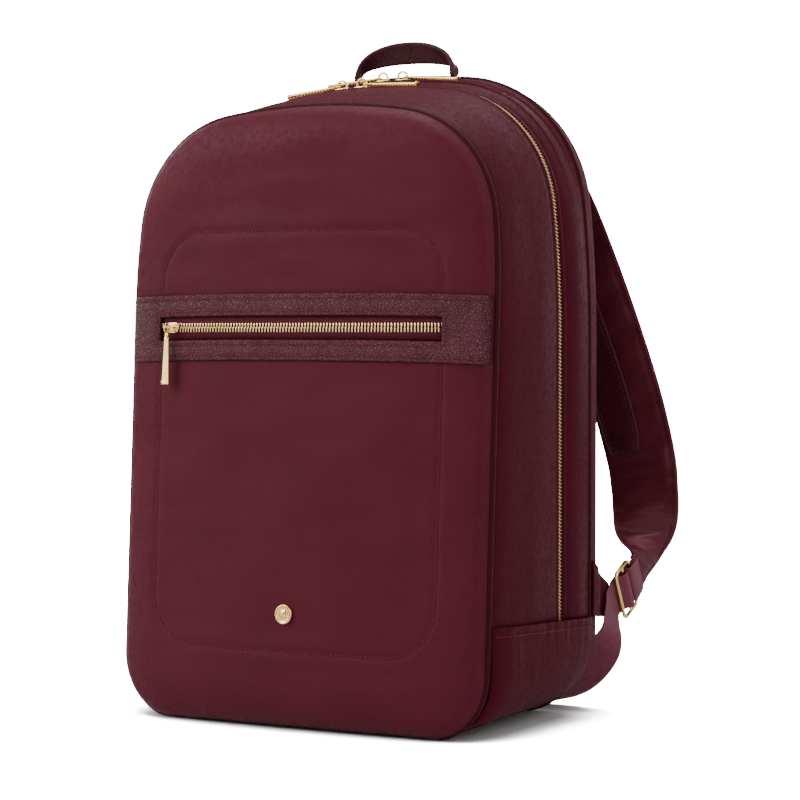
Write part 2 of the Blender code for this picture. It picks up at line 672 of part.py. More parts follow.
def handle():
    """Leather grip loop of flat strap: its front edge stands tall and its rear edge lies low."""
    stations = []
    foot = []
    for depth in (4.1, 3.0, 1.6):
        foot.append((depth, 2.0 * math.sqrt(FOOT_HALF ** 2 - depth ** 2)))
    reach = 36.8
    for depth, width in foot:
        stations.append((reach, HANDLE_Y, HANDLE_Z - depth, 0.0, 1.0, 0.0, width))
    for i in range(19):
        a = math.pi * i / 18
        x = math.copysign(abs(math.cos(a)) ** 0.92, math.cos(a))
        h = abs(math.sin(a)) ** 0.92
        front = Vector((x * 36.2, HANDLE_Y - FOOT_HALF + 5.8 * h, HANDLE_Z + 21.6 * h))
        rear = Vector((x * 37.4, HANDLE_Y + FOOT_HALF + 2.4 * h, HANDLE_Z + 7.4 * h))
        middle, across = (front + rear) / 2, (rear - front).normalized()
        stations.append(middle.to_tuple() + across.to_tuple() + ((rear - front).length,))
    for depth, width in reversed(foot):
        stations.append((-reach, HANDLE_Y, HANDLE_Z - depth, 0.0, 1.0, 0.0, width))
    loops = band_loops(stations, -1.3, 1.3, bevel=1.2)
    sweep("carry_handle", loops, "leather", origin=(0.0, HANDLE_Y, HANDLE_Z))


# ------------------------------------------------------------------ shoulder straps
BUCKLE = Vector((134.2, 112.3, 77.5))           # middle of the right buckle
BUCKLE_LONG = Vector((0.0, 0.447, -0.894))      # along its bars
BUCKLE_RUN = Vector((0.0, 0.894, 0.447))        # towards the strap
STRAP_FOOT = Vector((130.3, 91.0, 75.0))       # the strap swings about the line between
STRAP_HEAD = Vector((68.0, 80.0, 384.0))        # these two anchors

STRAP_PATH = (      # x, y, z, width direction, width
    (68, 87.5, 379, 1, 0, 0, 36), (77, 91.5, 355, 1, 0, 0, 50), (90, 98.5, 323, 1, 0, 0, 57),
    (105, 115, 270, 1, 0, 0, 57), (119, 133, 212, 1, 0, 0, 54), (127.5, 143.5, 166, 1, 0, 0, 52),
    (130, 146.5, 140, 0.96, 0.05, -0.28, 49), (132, 146, 118, 0.72, 0.25, -0.64, 43),
    (133.4, 142.6, 101, 0.3, 0.42, -0.85, 36), (134.0, 137.6, 91.4, 0, 0.447, -0.894, 30),
    (134.2, 132.4, 87.5, 0, 0.447, -0.894, 27))


def on_buckle(along, out):
    """A point given along the strap's run and outwards from the buckle's plane."""
    return BUCKLE + BUCKLE_RUN * along + Vector((out, 0.0, 0.0))


def strap_pieces(tag, side):
    head = Vector((STRAP_HEAD.x * side, STRAP_HEAD.y, STRAP_HEAD.z))
    path = spline(STRAP_PATH, 2)
    sweep(f"strap_shell_{tag}", mirrored(band_loops(path, 0.2, 4.6, bevel=3.0), side), "nylon", origin=head)
    pad = [(p[0] - 0.16 * p[6],) + p[1:6] + (0.5 * p[6],) for p in path[:11]]
    sweep(f"strap_pad_{tag}", mirrored(band_loops(pad, -3.4, -0.4, bevel=2.0), side), "padded_mesh", origin=head)

    # short loop that holds the buckle to the end of the strap
    turn = ((20.6, 1.3), (11.0, 2.4), (7.2, 2.3), (5.6, 1.2), (5.6, -1.2), (7.2, -2.3), (11.0, -2.4), (20.6, -1.3))
    stations = [on_buckle(a, o).to_tuple() + BUCKLE_LONG.to_tuple() + (25.0,) for a, o in turn]
    sweep(f"buckle_loop_{tag}", mirrored(band_loops(stations, -0.55, 0.55), side), "webbing", origin=head)

    ladder_buckle(f"buckle_{tag}", side, head)

    # load webbing from the wing, round the middle bar and away as a loose tail
    lace = ((-12.2, -3.9), (-8.0, -3.9), (0.0, -3.8), (2.4, -2.4), (3.1, 0.0), (2.0, 2.1), (0.0, 2.6),
            (-2.2, 2.1), (-4.2, 0.0), (-6.4, -1.8), (-9.6, -2.3), (-14.0, -2.3), (-17.5, -2.3))
    stations = [on_buckle(a, o).to_tuple() + BUCKLE_LONG.to_tuple() + (25.0,) for a, o in lace]
    tail = spline(((131.9, 96.7, 69.7, 0, 0.447, -0.894, 25), (132.9, 93.8, 60, 0, 0.66, -0.75, 25),
                   (132.6, 92, 50, 0.06, 0.68, -0.73, 25), (128.8, 90.2, 39, 0.38, 0.66, -0.64, 25),
                   (121, 89.3, 27.5, 0.52, 0.67, -0.5, 25), (111, 89, 16.5, 0.42, 0.83, -0.37, 25),
                   (100, 89.5, 7.6, 0.18, 0.97, -0.16, 25), (90, 90, 3.0, 0, 1, 0, 25),
                   (78, 90, 1.5, 0, 1, 0, 25), (62, 90, 1.2, 0, 1, 0, 25)), 5)
    stations += tail[1:]
    sweep(f"webbing_{tag}", mirrored(band_loops(stations, -0.55, 0.55), side), "webbing", origin=head)

    # fixed anchors: the root at the top of the back and the triangular wing low down
    box_object(f"strap_root_{tag}", *ordered((48 * side, BACK_FACE + FIT, 356), (88 * side, 79.0, 384)), "nylon")
    plane = BUCKLE.x - 4.3
    tip = on_buckle(-14.0, 0.0)
    high, low = tip - BUCKLE_LONG * 13.0, tip + BUCKLE_LONG * 13.0
    loops = []
    for dx in (-0.7, 0.7):      # from the rear side seam round the padded edge to the buckle
        upper = [Vector((x + dx, y, mix(100.0, high.z, (y - 61.9) / (high.y - 61.9))))
                 for x, y in ((135.0, 61.9), (134.6, 69.5), (131.6, 76.0), (plane, 84.0), (plane, high.y))]
        lower = [Vector((x + dx, y, mix(64.0, low.z, (y - 61.9) / (low.y - 61.9))))
                 for x, y in ((135.0, 61.9), (134.6, 69.5), (131.6, 76.0), (plane, 84.0), (plane, low.y))]
        loops.append((upper, lower))
    rows = [[inner, inner_low, outer_low, outer] for inner, inner_low, outer_low, outer in
            zip(loops[0][0], loops[0][1], loops[1][1], loops[1][0])]
    sweep(f"wing_{tag}", mirrored(rows, side), "nylon", smooth=False)


def ordered(a, b):
    return tuple(min(p, q) for p, q in zip(a, b)), tuple(max(p, q) for p, q in zip(a, b))


def ladder_buckle(name, side, origin):
    """A flat metal frame with three bars."""
    outline = ((-18.0, 8.0), (-14.5, 11.0), (14.5, 11.0), (18.0, 8.0),
               (18.0, -8.0), (14.5, -11.0), (-14.5, -11.0), (-18.0, -8.0))
    plate = bmesh.new()
    skin_loops(plate, [[on_buckle(run, out) + BUCKLE_LONG * along for along, run in outline]
                       for out in (-1.2, 1.2)])
    made = finish(name, plate, "gold_metal")
    for low, high in ((1.4, 8.2), (-8.2, -1.4)):
        hole = bmesh.new()
        skin_loops(hole, [[on_buckle(run, out) + BUCKLE_LONG * along for along, run in
                           ((-13.5, low), (13.5, low), (13.5, high), (-13.5, high))] for out in (-4, 4)])
        combine(made, finish("cutter", hole, "gold_metal"), "DIFFERENCE")
    for vert in made.data.vertices:
        vert.co.x *= side
    if side < 0:
        made.data.flip_normals()
    set_origin(made, origin)


# ------------------------------------------------------------------ build
def build():
    for old in list(bpy.data.objects):
        bpy.data.objects.remove(old)
    front_pieces()
    shell_pieces()
    zip_pieces()
    handle()
    for tag, side in (("left", -1.0), ("right", 1.0)):
        side_pocket(f"side_pocket_{tag}", side)
        strap_pieces(tag, side)


build()
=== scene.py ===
import math

import bmesh
import bpy
from mathutils import Matrix, Vector, noise


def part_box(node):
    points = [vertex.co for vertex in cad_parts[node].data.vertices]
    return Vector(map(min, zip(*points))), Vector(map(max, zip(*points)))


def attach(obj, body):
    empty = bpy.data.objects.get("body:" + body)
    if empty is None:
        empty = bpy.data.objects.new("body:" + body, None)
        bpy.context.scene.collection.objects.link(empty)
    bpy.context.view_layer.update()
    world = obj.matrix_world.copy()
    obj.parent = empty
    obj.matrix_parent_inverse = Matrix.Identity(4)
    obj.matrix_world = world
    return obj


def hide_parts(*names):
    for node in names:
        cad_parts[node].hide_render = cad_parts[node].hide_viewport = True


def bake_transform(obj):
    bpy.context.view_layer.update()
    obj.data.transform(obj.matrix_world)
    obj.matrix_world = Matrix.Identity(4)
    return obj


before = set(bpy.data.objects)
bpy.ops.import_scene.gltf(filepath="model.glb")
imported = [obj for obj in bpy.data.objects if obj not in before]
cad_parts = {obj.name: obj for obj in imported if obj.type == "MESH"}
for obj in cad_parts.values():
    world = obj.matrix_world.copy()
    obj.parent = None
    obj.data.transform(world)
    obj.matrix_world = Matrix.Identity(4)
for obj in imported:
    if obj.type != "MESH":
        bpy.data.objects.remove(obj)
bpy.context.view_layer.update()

# A slim travel backpack in burgundy nylon, stood on a white table. Lengths here are millimetres
# and become metres when a mesh is made. The front looks along -Y and +Z is up.
MM = 0.001

# ------------------------------------------------------------------ driving dimensions
HALF = 133.5                                    # half the width at the seams
FRONT_CORNER, REAR_CORNER = 38.0, 56.0          # rounding of the bottom corners
FRONT_TOP, REAR_TOP = 388.5, 415.0
FRONT_SEAM, REAR_SEAM = -55.0, 60.0
TOP_RADIUS = 450.0
ZIP_Y, LAPTOP_Y, SLOT = 20.0, 45.0, 3.0
HINGE_Z, FOLD_LOW = 62.0, 30.0                  # the front panel folds between these heights
POCKET_Z, POCKET_HALF, WINDOW = 249.5, 104.0, 7.4
BAND_LOW, BAND_HIGH = 229.0, 271.0
QUILT_HALF, QUILT_LOW, QUILT_HIGH, QUILT_ROUND = 104.0, 49.0, 310.0, 32.0
BACK_FACE = 76.4
CHAIN_PITCH = 2.25                              # tooth spacing on one side of a zip
STITCH = 3.0                                    # spacing of the topstitching
WEB_WIDTH = 25.0                                # load webbing and its keeper
LAPTOP_REACH = 80.5                             # half length of the laptop zip's slot over the top
PIPING_RADIUS, PIPING_AHEAD = 2.05, 1.0         # front piping, and how far it stands before the seam


def mix(a, b, t):
    return a + (b - a) * t


def clamp(t, low=0.0, high=1.0):
    return min(max(t, low), high)


def ease(t):
    t = clamp(t)
    return t * t * (3.0 - 2.0 * t)


def bell(distance, width):
    return math.exp(-(distance / width) ** 2)


def wander(x, y, z=0.0, size=20.0):
    """Smooth seeded unevenness between -1 and 1, with features about size across."""
    return noise.noise(Vector((x / size + 3.7, y / size - 1.3, z / size + 8.1)))


# ------------------------------------------------------------------ outline of the body
def front_y(z):
    return -70.0 + 0.054 * (z - 104.0)


def share_of_depth(y):
    for level in (ZIP_Y, LAPTOP_Y):
        if abs(y - level) <= 5.5:
            y = level
    return clamp((y - FRONT_SEAM) / (REAR_SEAM - FRONT_SEAM))


def corner_at(y):
    return mix(FRONT_CORNER, REAR_CORNER, clamp((y + 70.0) / 130.0))


def arcs(y):
    """Top, shoulder and side arcs of the outline at a depth: centre, radius, first and last angle."""
    t = share_of_depth(y)
    crown = mix(FRONT_TOP, REAR_TOP, t)
    first, second = math.radians(mix(8.5, 6.0, t)), math.radians(84.0)
    shoulder = mix(76.0, 92.0, t)
    sx = (TOP_RADIUS - shoulder) * math.sin(first)
    sz = crown - TOP_RADIUS + (TOP_RADIUS - shoulder) * math.cos(first)
    ex, ez = sx + shoulder * math.sin(second), sz + shoulder * math.cos(second)
    side = (HALF - ex) / (1.0 - math.sin(second))
    centre = (ex - side * math.sin(second), ez - side * math.cos(second))
    return (((0.0, crown - TOP_RADIUS), TOP_RADIUS, 0.0, first), ((sx, sz), shoulder, first, second),
            (centre, side, second, math.pi / 2))


def arch(y, foot, detail=1.0):
    """(x, z) and outward (nx, nz) pairs from the right foot over the top to the left foot."""
    top, shoulder, side = arcs(y)
    half = []
    straight = int(26 * detail)
    for i in range(straight):
        half.append((HALF, mix(foot, side[0][1], i / straight), 1.0, 0.0))
    for (centre, radius, low, high), steps in ((side, 6), (shoulder, int(30 * detail)),
                                               (top, int(22 * detail))):
        for i in range(steps):
            a = mix(high, low, i / steps)
            half.append((centre[0] + radius * math.sin(a), centre[1] + radius * math.cos(a),
                         math.sin(a), math.cos(a)))
    return half + [(0.0, top[0][1] + top[1], 0.0, 1.0)] + [(-x, z, -nx, nz) for x, z, nx,
                                                           nz in reversed(half)]


def trough(y, half, shrink, rim, steps=14):
    """The same from the left rim down and under the body to the right rim."""
    corner = corner_at(y) - shrink
    right = [(half, mix(rim, corner, i / 4), 1.0, 0.0) for i in range(4)]
    for i in range(steps + 1):
        a = math.pi / 2 * i / steps
        right.append((half - corner + corner * math.cos(a), corner - corner * math.sin(a),
                      math.cos(a), -math.sin(a)))
    for share in (0.75, 0.5, 0.25):
        right.append(((half - corner) * share, 0.0, 0.0, -1.0))
    return [(-x, z, -nx, nz) for x, z, nx, nz in right] + [(0.0, 0.0, 0.0, -1.0)] + right[::-1]


def whole_outline(y, inset=0.0, detail=1.0):
    """The closed outline, moved inwards by inset."""
    run = arch(y, 70.0, detail) + trough(y, HALF, 0.0, 64.0)
    return [(x - nx * inset, z - nz * inset) for x, z, nx, nz in run]


def half_width(z):
    """Half the body's width at a height, at the front seam."""
    if z < FRONT_CORNER:
        return HALF - FRONT_CORNER + math.sqrt(max(FRONT_CORNER ** 2 - (FRONT_CORNER - z) ** 2, 0.0))
    top, shoulder, side = arcs(FRONT_SEAM)
    for centre, radius, low, _ in (side, shoulder, top):
        if z <= centre[1] + radius * math.cos(low):
            lift = max(z - centre[1], 0.0)
            return centre[0] + math.sqrt(max(radius ** 2 - lift ** 2, 0.0))
    return 0.0


def top_height(x, y=FRONT_SEAM):
    x = abs(x)
    for centre, radius, _, high in arcs(y):
        if x <= centre[0] + radius * math.sin(high) + 1e-9:
            return centre[1] + math.sqrt(max(radius ** 2 - (x - centre[0]) ** 2, 0.0))
    return arcs(y)[2][0][1]


def low_height(x):
    over = abs(x) - (HALF - FRONT_CORNER)
    return FRONT_CORNER - math.sqrt(max(FRONT_CORNER ** 2 - over ** 2, 0.0)) if over > 0 else 0.0


def seam_distance(x, z):
    """About how far a point of the front panel is from the seam round it."""
    gaps = (half_width(z) - abs(x), top_height(x) - z, z - low_height(x))
    return 1.0 / math.sqrt(sum(1.0 / max(gap, 0.02) ** 2 for gap in gaps))


def rounding(distance, reach=26.0):
    share = clamp(distance / reach)
    return math.sqrt(1.0 - (1.0 - share) ** 2)


def front_plain(x, z):
    """y of the puffed front panel before its stitching and creases."""
    puff = rounding(seam_distance(x, z)) * (7.3 + 9.8 * (1.0 - (x / HALF) ** 2))
    return front_y(z) - 3.9 - puff + 2.6 * bell(seam_distance(x, z), 3.0)


def quilt_distance(x, z):
    """Signed distance from the stitched rounded rectangle on the front."""
    middle, reach = (QUILT_LOW + QUILT_HIGH) / 2, (QUILT_HIGH - QUILT_LOW) / 2
    qx, qz = abs(x) - (QUILT_HALF - QUILT_ROUND), abs(z - middle) - (reach - QUILT_ROUND)
    return math.hypot(max(qx, 0.0), max(qz, 0.0)) + min(max(qx, qz), 0.0) - QUILT_ROUND


def front_skin_y(x, z):
    """y of the finished front panel."""
    seam, line = seam_distance(x, z), quilt_distance(x, z)
    y = front_plain(x, z)
    y += 0.55 * bell(line, 1.6) - 0.15 * bell(line - 5.0, 4.0) - 0.2 * bell(line + 6.0, 5.0)
    y += 0.22 * bell(line, 5.0) * wander(x, z, 4.0, 5.5)
    y += 0.55 * bell(seam - 4.0, 7.0) * wander(x, z, 9.0, 6.5)
    soft = ease(seam / 30.0)
    y += soft * (0.9 * wander(x, z * 1.6, 0.0, 62.0) + 0.45 * wander(x * 0.7, z * 1.9, 5.0, 26.0))
    window = ease((POCKET_HALF + 4.0 - abs(x)) / 3.5) * ease((WINDOW + 4.5 - abs(z - POCKET_Z)) / 4.0)
    under = ease((z - BAND_LOW + 2.0) / 5.0) * ease((BAND_HIGH + 2.0 - z) / 5.0)
    if under > 0.0:      # held flat under the leather
        y = mix(y, front_plain(x, z) + 0.5, under)
    return y + 2.4 * window


# ------------------------------------------------------------------ mesh helpers
def build(name, points, faces, finish, smooth=True, crisp=None, uv=None):
    """A mesh object from millimetre points; seams merged and faces turned outwards."""
    mesh = bpy.data.meshes.new(name)
    mesh.from_pydata([Vector(p) * MM for p in points], [], faces)
    if uv is not None:
        layer = mesh.uv_layers.new(name="cloth")
        for loop in mesh.loops:
            layer.data[loop.index].uv = (uv[loop.vertex_index][0] * MM, uv[loop.vertex_index][1] * MM)
    work = bmesh.new()
    work.from_mesh(mesh)
    bmesh.ops.remove_doubles(work, verts=work.verts, dist=2e-6)
    bmesh.ops.dissolve_degenerate(work, edges=work.edges, dist=1e-7)
    bmesh.ops.recalc_face_normals(work, faces=work.faces)
    if work.calc_volume(signed=True) < 0.0:
        bmesh.ops.reverse_faces(work, faces=work.faces)
    work.to_mesh(mesh)
    work.free()
    mesh.polygons.foreach_set("use_smooth", [smooth] * len(mesh.polygons))
    if crisp is not None:
        mesh.set_sharp_from_angle(angle=math.radians(crisp))
    mesh.materials.append(finish)
    made = bpy.data.objects.new(name, mesh)
    bpy.context.scene.collection.objects.link(made)
    return made


def grid_faces(rows, columns, start=0, keep=None, wrap=False):
    faces = []
    for i in range(rows - 1):
        for j in range(columns if wrap else columns - 1):
            if keep is None or keep(i, j):
                k = (j + 1) % columns
                faces.append((start + i * columns + j, start + i * columns + k,
                              start + (i + 1) * columns + k, start + (i + 1) * columns + j))
    return faces


def grid_normals(grid):
    normals = []
    last_row, last = len(grid) - 1, len(grid[0]) - 1
    for i, row in enumerate(grid):
        line = []
        for j in range(len(row)):
            across = Vector(row[min(j + 1, last)]) - Vector(row[max(j - 1, 0)])
            along = Vector(grid[min(i + 1, last_row)][j]) - Vector(grid[max(i - 1, 0)][j])
            line.append(across.cross(along).normalized())
        normals.append(line)
    return normals


def wall(name, grid, thick, finish, keep=None, flip=False, uv=None):
    """A closed cloth wall: the grid is its outside and a second layer lies thick behind it.

    Rows and columns turn so that their normal looks outwards, or inwards where flip is set.
    """
    rows, columns = len(grid), len(grid[0])
    normals = grid_normals(grid)
    sign = 1.0 if flip else -1.0
    outer = [Vector(p) for row in grid for p in row]
    inner = [p + n * thick * sign for p, n in zip(outer, (n for line in normals for n in line))]
    front = grid_faces(rows, columns, 0, keep)
    back = [tuple(index + len(outer) for index in reversed(face)) for face in front]
    seen = {}
    for face in front:
        for a, b in zip(face, face[1:] + face[:1]):
            seen[(a, b)] = True
    rim = [(b, a, a + len(outer), b + len(outer)) for a, b in seen if (b, a) not in seen]
    marks = None if uv is None else [uv(i, j) for i in range(rows) for j in range(columns)] * 2
    return build(name, outer + inner, front + back + rim, finish, uv=marks)


def loft(name, loops, finish, closed=False, uv=False, smooth=True, crisp=None):
    """Skins closed cross-sections one after another, capping the two ends of an open run."""
    count = len(loops[0])
    points = [Vector(p) for loop in loops for p in loop]
    marks = None
    if uv:
        marks, far = [], 0.0
        for i, loop in enumerate(loops):
            if i:
                middle = sum((Vector(p) for p in loop), Vector()) / count
                before = sum((Vector(p) for p in loops[i - 1]), Vector()) / count
                far += (middle - before).length
            side = (Vector(loop[count // 2]) - Vector(loop[0]))
            wide = side.length or 1.0
            marks += [(far, (Vector(p) - Vector(loop[0])).dot(side) / wide) for p in loop]
    faces = grid_faces(len(loops), count, 0, None, True)
    if closed:
        base = (len(loops) - 1) * count
        faces += [(base + j, base + (j + 1) % count, (j + 1) % count, j) for j in range(count)]
    else:
        faces.append(tuple(range(count))[::-1])
        faces.append(tuple(range((len(loops) - 1) * count, len(loops) * count)))
    return build(name, points, faces, finish, smooth, crisp, marks)


def tube_loops(centres, radius, sides=12, closed=False, lean=Vector((0.0, 1.0, 0.0))):
    points = [Vector(c) for c in centres]
    count = len(points)
    loops = []
    for i, point in enumerate(points):
        before = points[i - 1] if closed or i > 0 else point
        after = points[(i + 1) % count] if closed or i < count - 1 else point
        tangent = (after - before).normalized()
        across = (lean - tangent * lean.dot(tangent)).normalized()
        normal = tangent.cross(across)
        size = radius(i / (count - 1)) if callable(radius) else radius
        loops.append([point + (across * math.cos(a) + normal * math.sin(a)) * size
                      for a in (2 * math.pi * k / sides for k in range(sides))])
    return loops


def curve_through(points, steps):
    out = []
    for i in range(len(points) - 1):
        four = [points[max(i - 1, 0)], points[i], points[i + 1], points[min(i + 2, len(points) - 1)]]
        for s in range(steps):
            t = s / steps
            out.append(tuple(0.5 * (2 * b + (c - a) * t + (2 * a - 5 * b + 4 * c - d) * t * t
                                    + (3 * b - a - 3 * c + d) * t ** 3) for a, b, c, d in zip(*four)))
    out.append(tuple(points[-1]))
    return out


def strap_loops(stations, shape):
    """Cross-sections of a strap. shape(share, half) gives (across, height) pairs."""
    centres = [Vector(s[:3]) for s in stations]
    loops = []
    last = len(centres) - 1
    for i, station in enumerate(stations):
        tangent = (centres[min(i + 1, last)] - centres[max(i - 1, 0)]).normalized()
        across = Vector(station[3:6])
        across = (across - tangent * across.dot(tangent)).normalized()
        normal = across.cross(tangent)
        loops.append([centres[i] + across * a + normal * h for a, h in shape(i / last, station[6] / 2)])
    return loops


def mirrored(loops, side):
    return [[Vector((p[0] * side, p[1], p[2])) for p in loop] for loop in loops]


def keep_clean(made):
    """Applies the piece's modifiers, so that its mesh is final."""
    bpy.context.view_layer.update()
    graph = bpy.context.evaluated_depsgraph_get()
    result = bpy.data.meshes.new_from_object(made.evaluated_get(graph))
    made.modifiers.clear()
    made.data = result
    return made


def bevelled(made, width, segments=2, angle=35.0):
    step = made.modifiers.new("edge", "BEVEL")
    step.width, step.segments = width * MM, segments
    step.limit_method, step.angle_limit = "ANGLE", math.radians(angle)
    step.harden_normals = False
    keep_clean(made)
    made.data.polygons.foreach_set("use_smooth", [True] * len(made.data.polygons))
    made.data.set_sharp_from_angle(angle=math.radians(32.0))
    return made


def joined(name, parts):
    """One mesh from several, keeping each one's finish."""
    work = bmesh.new()
    finishes = []
    for part in parts:
        start = len(work.faces)
        work.from_mesh(part.data)
        work.faces.ensure_lookup_table()
        for finish in part.data.materials:
            if finish not in finishes:
                finishes.append(finish)
        slots = [finishes.index(finish) for finish in part.data.materials]
        for face in work.faces[start:]:
            face.material_index = slots[face.material_index] if slots else 0
    mesh = bpy.data.meshes.new(name)
    work.to_mesh(mesh)
    work.free()
    for finish in finishes:
        mesh.materials.append(finish)
    for part in parts:
        bpy.data.objects.remove(part)
    made = bpy.data.objects.new(name, mesh)
    bpy.context.scene.collection.objects.link(made)
    return made


# ------------------------------------------------------------------ shader building
class Sheet:
    """Short calls for wiring one node tree."""

    def __init__(self, tree):
        self.tree = tree

    def node(self, kind, **settings):
        made = self.tree.nodes.new(kind)
        for key, value in settings.items():
            setattr(made, key, value)
        return made

    def feed(self, socket, value):
        if isinstance(value, bpy.types.NodeSocket):
            self.tree.links.new(value, socket)
        else:
            socket.default_value = value

    def sum(self, operation, a, b=0.0, c=None):
        made = self.node("ShaderNodeMath", operation=operation)
        self.feed(made.inputs[0], a)
        self.feed(made.inputs[1], b)
        if c is not None:
            self.feed(made.inputs[2], c)
        return made.outputs[0]

    def blend(self, share, a, b):
        made = self.node("ShaderNodeMix", data_type="RGBA", clamp_factor=True)
        self.feed(made.inputs[0], share)
        self.feed(made.inputs[6], a)
        self.feed(made.inputs[7], b)
        return made.outputs[2]

    def span(self, value, low, high, new_low=0.0, new_high=1.0):
        made = self.node("ShaderNodeMapRange", clamp=True, interpolation_type="SMOOTHSTEP")
        for index, number in enumerate((value, low, high, new_low, new_high)):
            self.feed(made.inputs[index], number)
        return made.outputs[0]

    def cloud(self, place, scale, detail=3.0, rough=0.55):
        made = self.node("ShaderNodeTexNoise")
        self.feed(made.inputs["Vector"], place)
        self.feed(made.inputs["Scale"], scale)
        self.feed(made.inputs["Detail"], detail)
        self.feed(made.inputs["Roughness"], rough)
        return made.outputs["Fac"]

    def place(self, scale=None):
        spot = self.node("ShaderNodeTexCoord").outputs["Object"]
        if scale is None:
            return spot
        made = self.node("ShaderNodeMapping")
        self.feed(made.inputs["Vector"], spot)
        made.inputs["Scale"].default_value = scale
        return made.outputs["Vector"]

    def parts(self, vector):
        made = self.node("ShaderNodeSeparateXYZ")
        self.feed(made.inputs[0], vector)
        return made.outputs

    def use(self, group, **values):
        made = self.node("ShaderNodeGroup")
        made.node_tree = group
        for key, value in values.items():
            self.feed(made.inputs[key.replace("_", " ")], value)
        return made.outputs


def shader_group(name, inputs, outputs):
    tree = bpy.data.node_groups.new(name, "ShaderNodeTree")
    for label, value in inputs:
        kind = "NodeSocketColor" if isinstance(value, tuple) else "NodeSocketFloat"
        tree.interface.new_socket(label, in_out="INPUT", socket_type=kind).default_value = value
    for label, kind in outputs:
        tree.interface.new_socket(label, in_out="OUTPUT", socket_type=kind)
    sheet = Sheet(tree)
    return tree, sheet, sheet.node("NodeGroupInput").outputs, sheet.node("NodeGroupOutput").inputs


def make_weave():
    """Over-and-under threads on whichever way a surface faces; Twill turns them into diagonals."""
    tree, s, given, out = shader_group(
        "woven threads", (("Thread", 0.00045), ("Twill", 0.0), ("Slub", 0.3)),
        (("Height", "NodeSocketFloat"), ("Shade", "NodeSocketFloat")))
    spot = s.place()
    x, y, z = s.parts(spot)
    facing = s.parts(s.node("ShaderNodeNewGeometry").outputs["True Normal"])
    pace = s.sum("DIVIDE", math.pi, given["Thread"])
    waves = {axis: s.sum("SINE", s.sum("MULTIPLY", value, pace)) for axis, value in
             (("x", x), ("y", y), ("z", z))}
    slant = {}
    for key, a, b in (("x", y, z), ("y", x, z), ("z", x, y)):
        slant[key] = s.sum("SINE", s.sum("MULTIPLY", s.sum("ADD", a, b), pace))
    total = 0.0
    for axis, normal, pair in (("x", facing[0], "yz"), ("y", facing[1], "xz"), ("z", facing[2], "xy")):
        plain = s.sum("MULTIPLY", waves[pair[0]], waves[pair[1]])
        cloth = s.sum("ADD", s.sum("MULTIPLY", plain, s.sum("SUBTRACT", 1.0, given["Twill"])),
                      s.sum("MULTIPLY", slant[axis], given["Twill"]))
        total = s.sum("ADD", total, s.sum("MULTIPLY", cloth, s.sum("MULTIPLY", normal, normal)))
    uneven = s.cloud(s.place((1.0, 1.0, 1.0)), 900.0, 2.0)
    height = s.sum("ADD", s.sum("MULTIPLY", total, 0.5), s.sum("MULTIPLY", uneven, given["Slub"]))
    s.feed(out["Height"], height)
    s.feed(out["Shade"], s.span(height, -0.5, 0.9))
    return tree


def make_grain():
    """Leather pebbles: raised cells with creases between them, and a finer grain inside."""
    tree, s, given, out = shader_group(
        "pebbled grain", (("Pebble", 0.0011), ("Crease", 0.35)),
        (("Height", "NodeSocketFloat"), ("Creases", "NodeSocketFloat"), ("Patch", "NodeSocketFloat")))
    size = s.sum("DIVIDE", 1.0, given["Pebble"])
    spot = s.place()
    warp = s.node("ShaderNodeVectorMath", operation="MULTIPLY_ADD")
    noise_node = s.node("ShaderNodeTexNoise")
    s.feed(noise_node.inputs["Vector"], spot)
    s.feed(noise_node.inputs["Scale"], s.sum("MULTIPLY", size, 0.7))
    s.feed(warp.inputs[0], noise_node.outputs["Color"])
    warp.inputs[1].default_value = (0.0009, 0.0009, 0.0009)
    s.feed(warp.inputs[2], spot)
    edge = s.node("ShaderNodeTexVoronoi", feature="DISTANCE_TO_EDGE")
    s.feed(edge.inputs["Vector"], warp.outputs[0])
    s.feed(edge.inputs["Scale"], size)
    cell = s.node("ShaderNodeTexVoronoi", feature="F1")
    s.feed(cell.inputs["Vector"], warp.outputs[0])
    s.feed(cell.inputs["Scale"], size)
    rise = s.span(edge.outputs["Distance"], 0.0, given["Crease"])
    fine = s.cloud(spot, s.sum("MULTIPLY", size, 3.1), 3.0)
    s.feed(out["Height"], s.sum("ADD", rise, s.sum("MULTIPLY", fine, 0.35)))
    s.feed(out["Creases"], s.sum("SUBTRACT", 1.0, rise))
    s.feed(out["Patch"], s.parts(cell.outputs["Color"])[0])
    return tree


def make_handling():
    """Broad cloudiness and fine dust that keep a surface from looking new and even."""
    tree, s, given, out = shader_group(
        "handled unevenness", (("Broad", 14.0), ("Fine", 260.0)),
        (("Cloud", "NodeSocketFloat"), ("Dust", "NodeSocketFloat")))
    s.feed(out["Cloud"], s.span(s.cloud(s.place(), given["Broad"], 4.0), 0.32, 0.70))
    s.feed(out["Dust"], s.span(s.cloud(s.place((1.0, 1.3, 0.8)), given["Fine"], 3.0, 0.65), 0.35, 0.72))
    return tree


def new_finish(name):
    made = bpy.data.materials.new(name)
    made.use_nodes = True
    sheet = Sheet(made.node_tree)
    return made, sheet, made.node_tree.nodes["Principled BSDF"]


def raised(s, shader, height, distance, strength=1.0):
    bump = s.node("ShaderNodeBump")
    bump.inputs["Strength"].default_value = strength
    bump.inputs["Distance"].default_value = distance
    s.feed(bump.inputs["Height"], height)
    s.feed(shader.inputs["Normal"], bump.outputs["Normal"])


